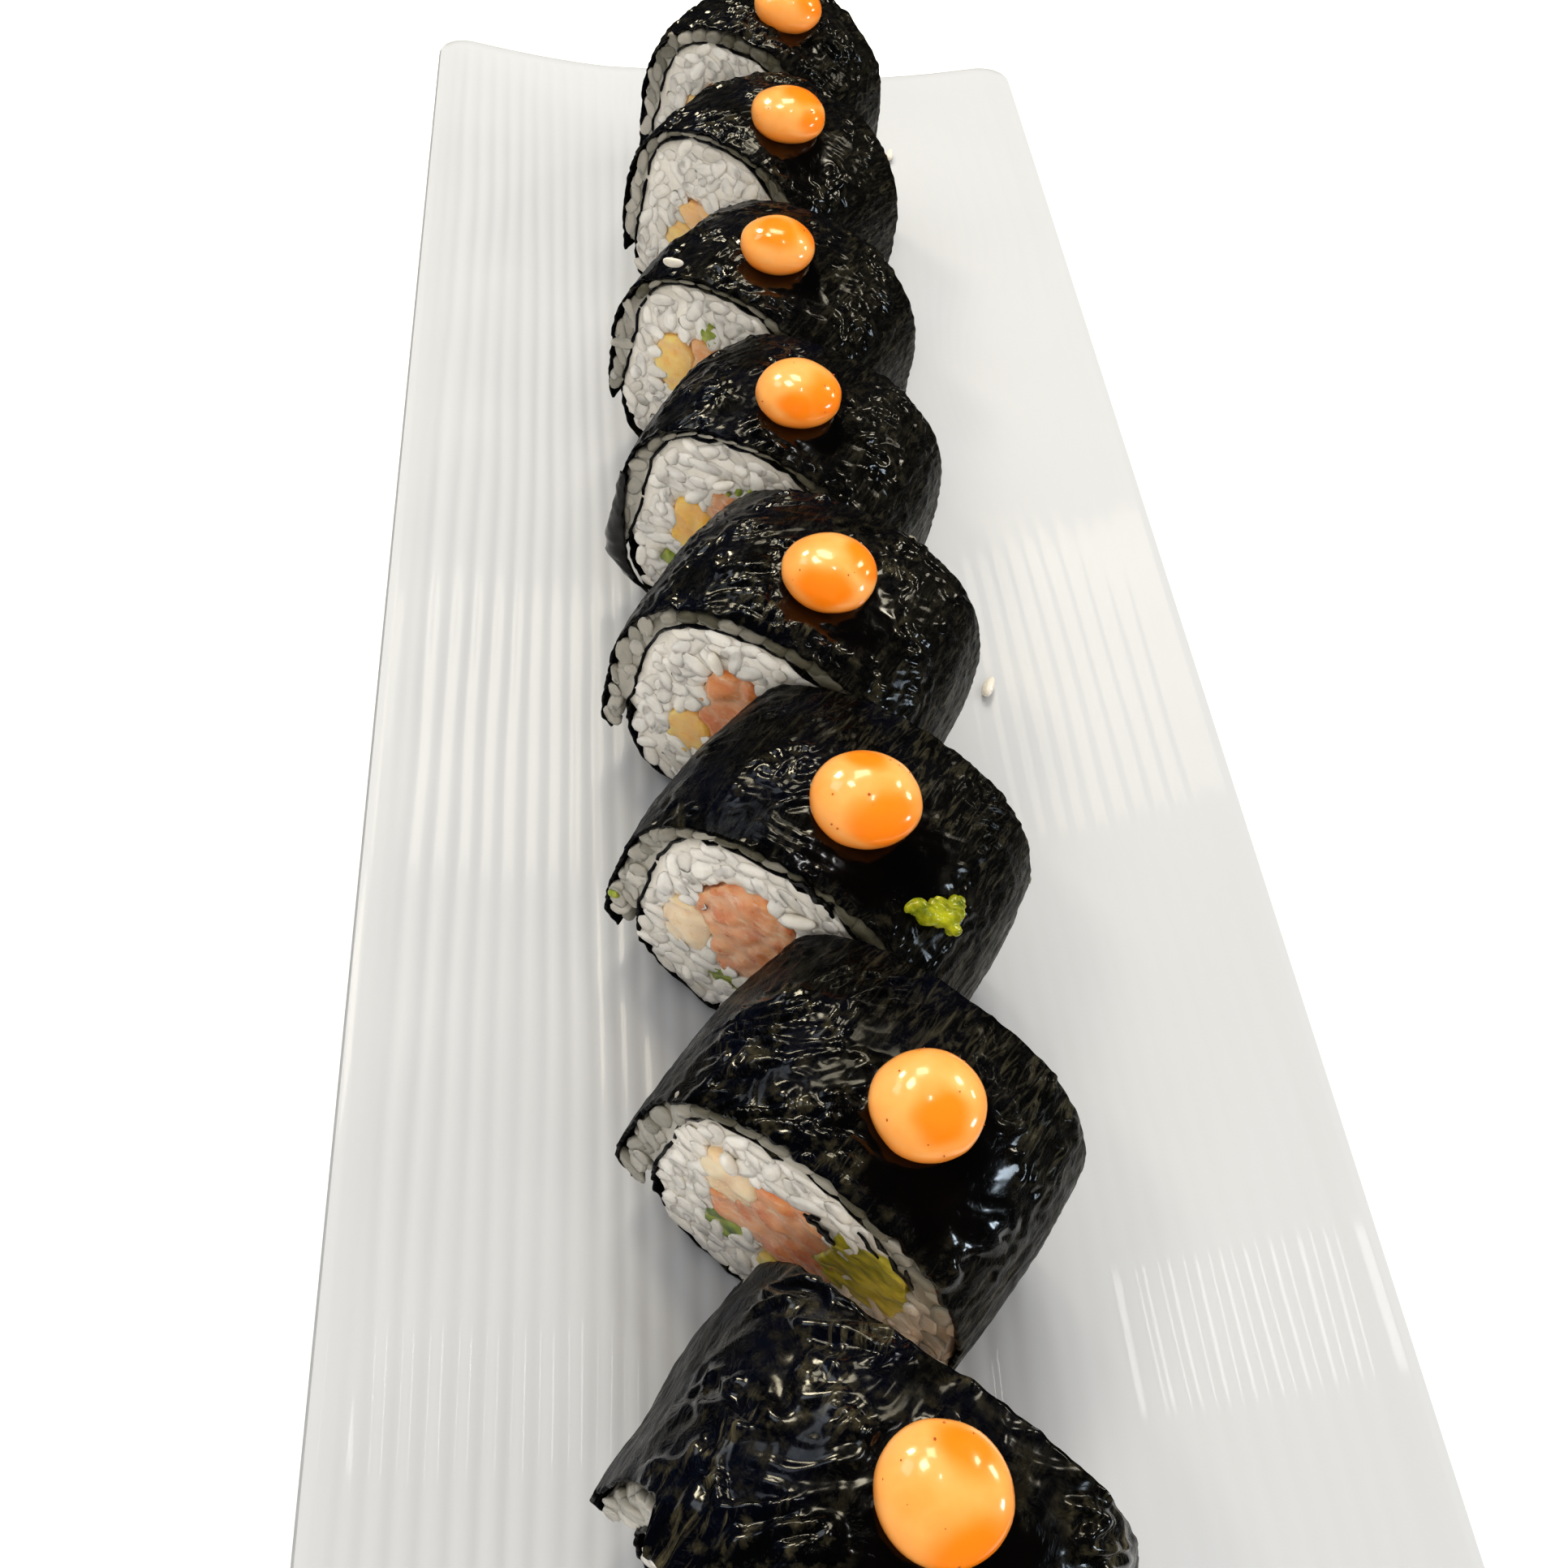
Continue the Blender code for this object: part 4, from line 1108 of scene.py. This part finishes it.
# ---------------------------------------------------------------------------------------------
# Sauce drops: thick spiced mayonnaise squeezed onto each slice, a plump glossy drop whose foot curls
# under. Orange oil has gathered in patches, and a few dark red flecks of chilli lie in it.
# ---------------------------------------------------------------------------------------------
DOT_SIZE = (13.8, 14.0, 12.8, 13.4, 13.6, 14.2, 13.2, 13.4)        # diameters, mm
DOT_SQUASH = 0.62
DOT_LIFT = 0.0014
DOT_ROUNDS = 56
DOT_RINGS = 36
# Orange patches of each drop: the way it lies from the drop's middle, and how wide it is
PATCHES = (
    (((0.6, -0.3, 0.6), 0.75),),
    (((0.4, 0.1, 0.9), 0.60), ((0.6, -0.6, 0.3), 0.55)),
    (((-0.1, -0.2, 0.9), 0.65), ((0.7, 0.1, 0.5), 0.6)),
    (((0.6, -0.5, 0.5), 0.75), ((-0.1, -0.8, 0.4), 0.5)),
    (((0.7, 0.0, 0.6), 0.60), ((-0.2, -0.8, 0.5), 0.65)),
    (((0.0, 0.55, 0.75), 0.42), ((0.25, -0.75, 0.55), 0.75)),
    (((0.10, -0.50, 0.80), 0.55),),
    (((0.35, 0.50, 0.80), 0.50), ((0.2, -0.8, 0.4), 0.70)),
)
SAUCE_PEACHES = ((0.98, 0.455, 0.140), (0.98, 0.385, 0.088))
OIL_ORANGE = (0.98, 0.24, 0.001)
FOOT_ORANGE = 0.55                  # how much oranger it is towards its foot
FLECKS_PER_DOT = 9
FLECK_SIZES = (0.00008, 0.00018)
CHILLI_REDS = ((0.36, 0.07, 0.010), (0.70, 0.22, 0.03))

sauce = new_finish("spiced_sauce", (1.0, 0.52, 0.20), 0.20, Subsurface_Weight=0.30,
                   Subsurface_Scale=0.003, Subsurface_Radius=(1.0, 0.5, 0.2), Coat_Weight=0.6,
                   Coat_Roughness=0.05)
place = object_coordinates(sauce)
oil = from_attribute(sauce, "oil")
cloud = grain_of(sauce, place, 160.0, 3.0)
peach = mottled(sauce, cloud, 0.35, 0.65, *SAUCE_PEACHES)
into_shader(sauce, "Base Color", colour_mix(sauce, oil, peach, OIL_ORANGE))
bump(sauce, cloud, 0.0004, 0.25)

dot_places = []
for index, patches in enumerate(PATCHES):
    number = index + 1
    half_width = DOT_SIZE[index] / 2000
    right, forward = DOT_RIGHT[index] / 1000, DOT_FORWARD[index] / 1000
    above = top_height(right, index) + DOT_LIFT
    middle = on_plate(index, np.array([right]), np.array([-forward]), np.array([above]))[0]
    deselect()
    bpy.ops.mesh.primitive_uv_sphere_add(segments=DOT_ROUNDS, ring_count=DOT_RINGS, radius=1.0)
    drop = take(f"sauce_drop_{number}")
    ways = read_points(drop)
    plump = 1.0 + 0.035 * lumps(ways, 0.9, 3.0 * index) + 0.012 * lumps(ways, 0.35, 3.0 * index)
    full = (np.abs(ways[:, 0:2]) ** 2).sum(1) ** 0.5
    shoulder = 1.0 + 0.05 * full * np.maximum(ways[:, 2], 0.0)
    shape = ways * (plump * shoulder)[:, None] * (half_width, half_width, half_width * DOT_SQUASH)
    write_points(drop, shape + middle)
    share = np.zeros(len(ways))
    for way, width in patches:
        aim = np.array(way) / np.linalg.norm(way)
        apart = np.arccos(np.clip(ways @ aim, -1, 1)) + 0.14 * lumps(ways, 0.45, 30.0 + index)
        share = np.maximum(share, 1.0 - smooth_ramp(apart, width * 0.55, width * 1.30))
    # Oranger towards the foot of the drop
    rim = FOOT_ORANGE * smooth_ramp(-ways[:, 2], -0.35, 0.30)
    attribute(drop, "oil", np.maximum(share * 0.9, rim))
    drop.data.shade_smooth()
    drop.data.materials.append(sauce)
    set_down(drop, "sauce", f"sauce_{number}")
    dot_places.append((middle, half_width))

deselect()
bpy.ops.mesh.primitive_ico_sphere_add(subdivisions=1, radius=1.0)
fleck = take("one_fleck")
ONE_FLECK = read_points(fleck)
FLECK_FACES = [list(face.vertices) for face in fleck.data.polygons]
bpy.data.objects.remove(fleck)
chance = np.random.default_rng(7)
fleck_copies = []
for middle, half_width in dot_places:
    for _ in range(FLECKS_PER_DOT):
        turn, height = chance.uniform(0, math.tau), chance.uniform(0.15, 0.95)
        level = math.sqrt(1 - height * height)
        way = np.array([level * math.cos(turn), level * math.sin(turn), height])
        size = chance.uniform(*FLECK_SIZES) * chance.uniform(0.7, 1.3, 3)
        shape = half_width * np.array([1.0, 1.0, DOT_SQUASH]) * (1.0 + 0.05 * level * height)
        fleck_copies.append(ONE_FLECK * size + middle + way * shape)
flecks = heap_of("chilli_flecks", fleck_copies, FLECK_FACES)
flecks.data.shade_smooth()
chilli = new_finish("chilli", (0.32, 0.06, 0.012), 0.4)
speckle = grain_of(chilli, object_coordinates(chilli), 900.0)
into_shader(chilli, "Base Color", mottled(chilli, speckle, 0.35, 0.65, *CHILLI_REDS))
flecks.data.materials.append(chilli)
set_down(flecks, "sauce")


# ---------------------------------------------------------------------------------------------
# Green topping: a crumpled scrap of bright green leaf that has dropped on the right shoulder of
# slice 6, and clings there.
# ---------------------------------------------------------------------------------------------
TOPPING_INDEX = 5
TOPPING_PLACE = (0.0184, 0.0074)        # right and forward
TOPPING_LIFT = 0.0008
TOPPING_VOXEL = 0.00022
LIMES = ((0.10, 0.13, 0.003), (0.40, 0.40, 0.012))
# Lobes of the scrap: right, forward and up of its middle, and size, in mm
LOBES = ((-3.0, -0.4, -0.2, 1.7), (-1.4, 0.7, 0.1, 1.8), (0.6, 1.2, 0.2, 1.6), (0.4, -0.9, 0.5, 1.5),
         (2.2, 0.2, 0.6, 1.6), (2.8, -1.5, 0.8, 1.3), (1.8, 2.2, 0.1, 1.3))


def joined(pieces, name):
    """Join pieces into one at the origin."""
    deselect()
    for piece in pieces:
        piece.select_set(True)
    bpy.context.view_layer.objects.active = pieces[0]
    bpy.ops.object.join()
    bpy.ops.object.transform_apply(location=True, rotation=True, scale=True)
    return take(name)


right, forward = TOPPING_PLACE
above = top_height(right, TOPPING_INDEX) + TOPPING_LIFT
scrap_middle = on_plate(TOPPING_INDEX, np.array([right]), np.array([-forward]), np.array([above]))[0]
deselect()
lobes = []
for right, forward, up, size in LOBES:
    location = scrap_middle + 0.001 * np.array([right, -forward, up - 0.35 * right])
    bpy.ops.mesh.primitive_uv_sphere_add(segments=16, ring_count=10, radius=size / 1000,
                                         location=location)
    lobes.append(bpy.context.object)
    bpy.ops.transform.resize(value=(1.0, 0.85, 0.55))
scrap = joined(lobes, "green_scrap")
evened(scrap, TOPPING_VOXEL, 3)
points = read_points(scrap)
crumple = 0.00035 * lumps(points, 0.0022, 3.0)
crumple -= 0.0022 * np.maximum(0.16 - np.abs(lumps(points, 0.0034, 8.0)), 0)
write_points(scrap, points + vertex_normals(scrap) * crumple[:, None])
scrap.data.shade_smooth()
lime = new_finish("lime_green_leaf", (0.24, 0.30, 0.012), 0.24, Subsurface_Weight=0.3,
                  Subsurface_Scale=0.0015, Coat_Weight=0.6, Coat_Roughness=0.08)
mottle = grain_of(lime, object_coordinates(lime), 520.0, 4.0)
into_shader(lime, "Base Color", mottled(lime, mottle, 0.35, 0.65, *LIMES))
bump(lime, mottle, 0.0003, 0.6)
scrap.data.materials.append(lime)
set_down(scrap, "green", "green_topping")


# ---------------------------------------------------------------------------------------------
# Loose grains: single grains of rice that stand proud of the cut faces, or that the knife dragged onto
# the nori and the plate.
# ---------------------------------------------------------------------------------------------
# On the cut faces: slice, right and up in mm, heading in degrees, and size
GRAINS_ON_FACES = (
    (7, -9.6, 32.2, -66, 0.72), (6, 3.6, 34.6, 20, 0.82), (5, -6.5, 33.6, -68, 0.78),
    (4, -4.0, 34.0, 30, 0.66), (8, -4.0, 35.0, 10, 0.75),
)
# On the plate or the nori: place, heading and tilt in degrees, and size
GRAINS_FALLEN = (
    ((0.0330, -0.0052, 0.0134), 55, 12, 0.78), ((0.0363, 0.1622, 0.0134), 80, 0, 0.70),
)
# On the front edge of a slice's top: slice, then right, back from its middle and up in mm
GRAIN_ON_EDGE = (3, -11.1, -15.0, 43.9)
# Painted tones of the loose grains: lighter on the faces, darker on the plate and darkest on the nori,
# which is painted shade
TONE_ON_FACE = 0.88
TONE_FALLEN = 0.75
TONE_ON_EDGE = 0.6

bits, bit_tones = [], []
for number, right, up, heading, size in GRAINS_ON_FACES:
    half_length = SLICE_LENGTH[number - 1] / 2000
    centre = np.array([right / 1000, -half_length - 0.0007, up / 1000])
    points = lay_grain(centre, math.radians(heading), 0.12, 0.4, np.full(3, size))
    bits.append(back_on_plate(number - 1, points))
    bit_tones.append(np.full(len(points), TONE_ON_FACE))
for place_at, heading, tilt, size in GRAINS_FALLEN:
    flat = lay_grain(np.zeros(3), 0.0, math.radians(tilt), 0.8, np.full(3, size))
    turn = math.radians(heading)
    along = flat[:, 0] * math.cos(turn) - flat[:, 1] * math.sin(turn)
    aside = flat[:, 0] * math.sin(turn) + flat[:, 1] * math.cos(turn)
    bits.append(np.column_stack([along, aside, flat[:, 2]]) + place_at)
    bit_tones.append(np.full(len(flat), TONE_FALLEN))
number, right, away, up = GRAIN_ON_EDGE
on_edge = lay_grain(np.array([right, away, up]) / 1000, 0.1, 0.3, 0.0, np.full(3, 0.62))
bits.append(back_on_plate(number - 1, on_edge))
bit_tones.append(np.full(len(on_edge), TONE_ON_EDGE))
loose = heap_of("loose_grains", bits, GRAIN_FACES)
attribute(loose, "tone", np.concatenate(bit_tones))
apply_modifier(loose, "round", "SUBSURF", levels=2, render_levels=2)
loose.data.shade_smooth()
loose.data.materials.append(rice_white)
set_down(loose, "rice")


# ---------------------------------------------------------------------------------------------
# Crumbs: torn bits of the nori that the knife dragged over the cut faces, the edge of the sheet that
# it folded over the left of slice 4, and crumbs of green leaf at slices 4, 5 and 6.
# ---------------------------------------------------------------------------------------------
# Torn bits: slice, right and up, length and width in mm, and heading in degrees
TORN_BITS = (
    (6, 4.4, 41.6, 6.5, 2.2, -8), (6, 7.0, 40.4, 3.0, 1.6, -50), (7, 3.2, 32.0, 5.0, 2.4, -25),
    (7, 1.8, 33.6, 2.6, 1.5, 40), (7, 14.6, 35.6, 3.4, 1.8, -60), (7, 9.0, 36.5, 4.0, 0.9, -35),
)
TORN_THICKNESS = 0.00025
# The edge folded over the left of slice 4: right and up of its middle line, and width, in mm
FOLD_SLICE = 4
FOLD_LINE = ((-22.4, 28.0, 0.8), (-22.6, 24.0, 1.8), (-23.1, 19.0, 2.3), (-23.5, 13.7, 3.8),
             (-23.2, 9.0, 4.4), (-20.4, 5.2, 2.8), (-16.6, 2.9, 0.7))
FOLD_BULGE = 0.0009             # where it is widest
FOLD_WIDEST = 0.0044
# Crumbs of green: slice, right, back from its middle, up and size, in mm
GREEN_CRUMBS = (
    (6, -25.6, -15.2, 14.8, 0.6), (6, -24.8, -15.6, 15.6, 0.5), (4, -1.6, -14.7, 33.4, 0.6),
    (4, 0.4, -14.7, 34.2, 0.55), (4, -3.2, -14.7, 32.2, 0.5), (5, 27.5, -14.5, 0.9, 0.6),
)


def as_nori(piece, lean, wet, crown):
    """Give a scrap what the nori's material reads."""
    for name, value in (("lean", lean), ("wet", wet), ("crown", crown)):
        attribute(piece, name, np.full(len(piece.data.vertices), value))
    piece.data.uv_layers.active.name = "sheet"
    return piece


deselect()
torn = []
for number, right, up, length, width, heading in TORN_BITS:
    bpy.ops.mesh.primitive_grid_add(x_subdivisions=22, y_subdivisions=8, size=1.0)
    bit = take("torn_bit")
    flat = read_points(bit)
    along = flat[:, 0] * length / 1000
    taper = 1.0 - 0.75 * np.abs(flat[:, 0] * 2) ** 2
    ragged = 0.55 + 0.9 * ripple(along / 0.0011, np.sign(flat[:, 1]) + number, right)
    aside = flat[:, 1] * width / 1000 * taper * np.maximum(ragged, 0.12)
    aside += 0.0005 * ripple(along / 0.0022, flat[:, 1] * 0, 2.0 * right)
    lift = 0.00012 * ripple(along / 0.0012, aside / 0.0012, up) + 0.00040
    turn = math.radians(heading)
    half_length = SLICE_LENGTH[number - 1] / 2000
    sideways = right / 1000 + along * math.cos(turn) - aside * math.sin(turn)
    upwards = up / 1000 + along * math.sin(turn) + aside * math.cos(turn)
    own = np.column_stack([sideways, -half_length - lift, upwards])
    write_points(bit, back_on_plate(number - 1, own))
    torn.append(as_nori(bit, 0.0, 0.3, 0.6))
bpy.ops.mesh.primitive_grid_add(x_subdivisions=60, y_subdivisions=10, size=2.0)
fold = take("folded_edge")
flat = read_points(fold)
stations = np.linspace(-1.0, 1.0, len(FOLD_LINE))
right, up, width = (np.interp(flat[:, 0], stations, values) / 1000 for values in zip(*FOLD_LINE))
width *= 1.0 + 0.25 * ripple(flat[:, 0] / 0.16, np.sign(flat[:, 1]), 5.0)
lift = 0.0004 + FOLD_BULGE * (1.0 - flat[:, 1] ** 2) * width / FOLD_WIDEST
lift += 0.00025 * ripple(flat[:, 0] / 0.12, flat[:, 1] / 0.8, 6.0)
half_length = SLICE_LENGTH[FOLD_SLICE - 1] / 2000
own = np.column_stack([right + 0.5 * width * flat[:, 1], -half_length - lift, up])
write_points(fold, back_on_plate(FOLD_SLICE - 1, own))
torn.append(as_nori(fold, 0.0, 0.9, 0.7))
scraps = joined(torn, "torn_nori_bits")
apply_modifier(scraps, "thickness", "SOLIDIFY", thickness=TORN_THICKNESS, offset=0.0)
scraps.data.shade_smooth()
scraps.data.materials.append(nori)
set_down(scraps, "nori")

deselect()
crumbs = []
for number, right, away, up, size in GREEN_CRUMBS:
    location = back_on_plate(number - 1, np.array([[right, away, up]]) / 1000)[0]
    bpy.ops.mesh.primitive_uv_sphere_add(segments=18, ring_count=12, radius=size / 1000,
                                         location=location)
    crumbs.append(bpy.context.object)
crumb = joined(crumbs, "green_crumbs")
points = read_points(crumb)
write_points(crumb, points + vertex_normals(crumb) * (0.00045 * lumps(points, 0.0010, 4.0))[:, None])
crumb.data.shade_smooth()
crumb.data.materials.append(leaf)
attribute(crumb, "border", np.clip(0.3 + lumps(points, 0.0008, 9.0), 0.0, 1.0))
set_down(crumb, "green")


# ---------------------------------------------------------------------------------------------
# Surroundings: a plain white table top, broad soft lamps overhead and around, a few smaller lamps
# whose reflections sparkle on moist surfaces, and a camera that looks down along the row.
# ---------------------------------------------------------------------------------------------
TABLE_SIZE = 6.0
CAMERA_PLACE = (-0.0370, -0.1796, 0.2142)
CAMERA_DOWN = 52.01             # degrees below level
CAMERA_RIGHT = 11.95            # degrees to the right of the plate's length
CAMERA_ROLL = 9.15
# Lamps: place, size, watts, colour and whether they show in reflections
LAMPS = (
    ("low_left", (-0.85, -0.45, 0.50), 0.80, 1.8, (1.0, 1.0, 0.99), False),
    ("low_right", (0.90, -0.30, 0.50), 0.80, 2.2, (1.0, 1.0, 0.99), False),
    ("front", (-0.20, -1.00, 0.55), 0.70, 5.2, (1.0, 0.99, 0.97), False),
    ("back", (0.05, 0.85, 0.70), 0.50, 4.1, (1.0, 1.0, 0.99), False),
    ("overhead", (0.10, 0.10, 1.15), 2.40, 13.0, (1.0, 1.0, 0.99), False),
    ("window", (-0.62, 0.55, 0.90), 0.30, 0.7, (0.85, 0.92, 1.0), True),
    ("blue_wall", (-0.80, 0.75, 0.55), 0.80, 0.18, (0.30, 0.48, 1.0), True),
    ("warm_wall", (0.85, 0.55, 0.45), 0.70, 0.2, (1.0, 0.88, 0.60), True),
    ("right_lamp", (0.77, 0.48, 0.70), 0.14, 0.85, (1.0, 0.93, 0.76), True),
    ("low_lamp", (0.98, 0.28, 0.44), 0.14, 0.8, (1.0, 0.93, 0.78), True),
    ("right_window", (0.95, -0.25, 0.25), 0.16, 1.0, (0.75, 0.88, 1.0), True),
    ("ceiling_1", (-0.22, 0.55, 1.10), 0.20, 1.8, (1.0, 0.92, 0.72), True),
    ("ceiling_2", (0.05, 0.80, 1.00), 0.28, 1.8, (1.0, 0.92, 0.72), True),
    ("ceiling_3", (-0.42, 0.80, 0.72), 0.16, 2.2, (1.0, 0.90, 0.66), True),
)
TUBE_PLACE = (0.160, 0.190, 1.062)
TUBE_SIZE = (0.040, 0.11)
TUBE_WATTS = 0.24
SKY_COLOUR = (0.96, 0.98, 1.0)
SKY_STRENGTH = 0.03

deselect()
bpy.ops.mesh.primitive_plane_add(size=TABLE_SIZE)
table = take("table_top")
table.data.materials.append(new_finish("plain_white", (0.97, 0.97, 0.97), 0.9))
table.visible_glossy = False


def hang_lamp(name, location, watts):
    """A flat lamp that shines down."""
    lamp = bpy.data.objects.new(name, bpy.data.lights.new(name, "AREA"))
    bpy.context.scene.collection.objects.link(lamp)
    lamp.location = location
    lamp.data.energy = watts
    return lamp


for name, location, size, watts, colour, mirrored in LAMPS:
    lamp = hang_lamp(name, location, watts)
    lamp.data.size = size
    lamp.data.color = colour
    lamp.rotation_euler = (-Vector(location)).to_track_quat("-Z", "Y").to_euler()
    lamp.visible_glossy = mirrored
tube = hang_lamp("tube", TUBE_PLACE, TUBE_WATTS)
tube.data.shape = "RECTANGLE"
tube.data.size, tube.data.size_y = TUBE_SIZE

scene = bpy.context.scene
scene.world = bpy.data.worlds.new("studio")
scene.world.use_nodes = True
sky = scene.world.node_tree.nodes["Background"]
sky.inputs["Color"].default_value = (*SKY_COLOUR, 1.0)
sky.inputs["Strength"].default_value = SKY_STRENGTH
scene.view_settings.view_transform = "Standard"
scene.view_settings.look = "Medium High Contrast"

camera_data = bpy.data.cameras.new("camera")
camera_data.sensor_width = 36.0
camera_data.lens = 36.0
camera_data.clip_start = 0.01
camera = bpy.data.objects.new("camera", camera_data)
scene.collection.objects.link(camera)
down, right_turn = math.radians(CAMERA_DOWN), math.radians(CAMERA_RIGHT)
ahead = Vector((math.sin(right_turn), math.cos(right_turn), 0.0))
look = ahead * math.cos(down) - Vector((0.0, 0.0, math.sin(down)))
side = Vector((math.cos(right_turn), -math.sin(right_turn), 0.0))
top = side.cross(look)
roll = math.radians(CAMERA_ROLL)
rolled_side = side * math.cos(roll) + top * math.sin(roll)
rolled_top = top * math.cos(roll) - side * math.sin(roll)
camera.matrix_world = Matrix((
    (rolled_side.x, rolled_top.x, -look.x, CAMERA_PLACE[0]),
    (rolled_side.y, rolled_top.y, -look.y, CAMERA_PLACE[1]),
    (rolled_side.z, rolled_top.z, -look.z, CAMERA_PLACE[2]),
    (0.0, 0.0, 0.0, 1.0),
))
scene.camera = camera
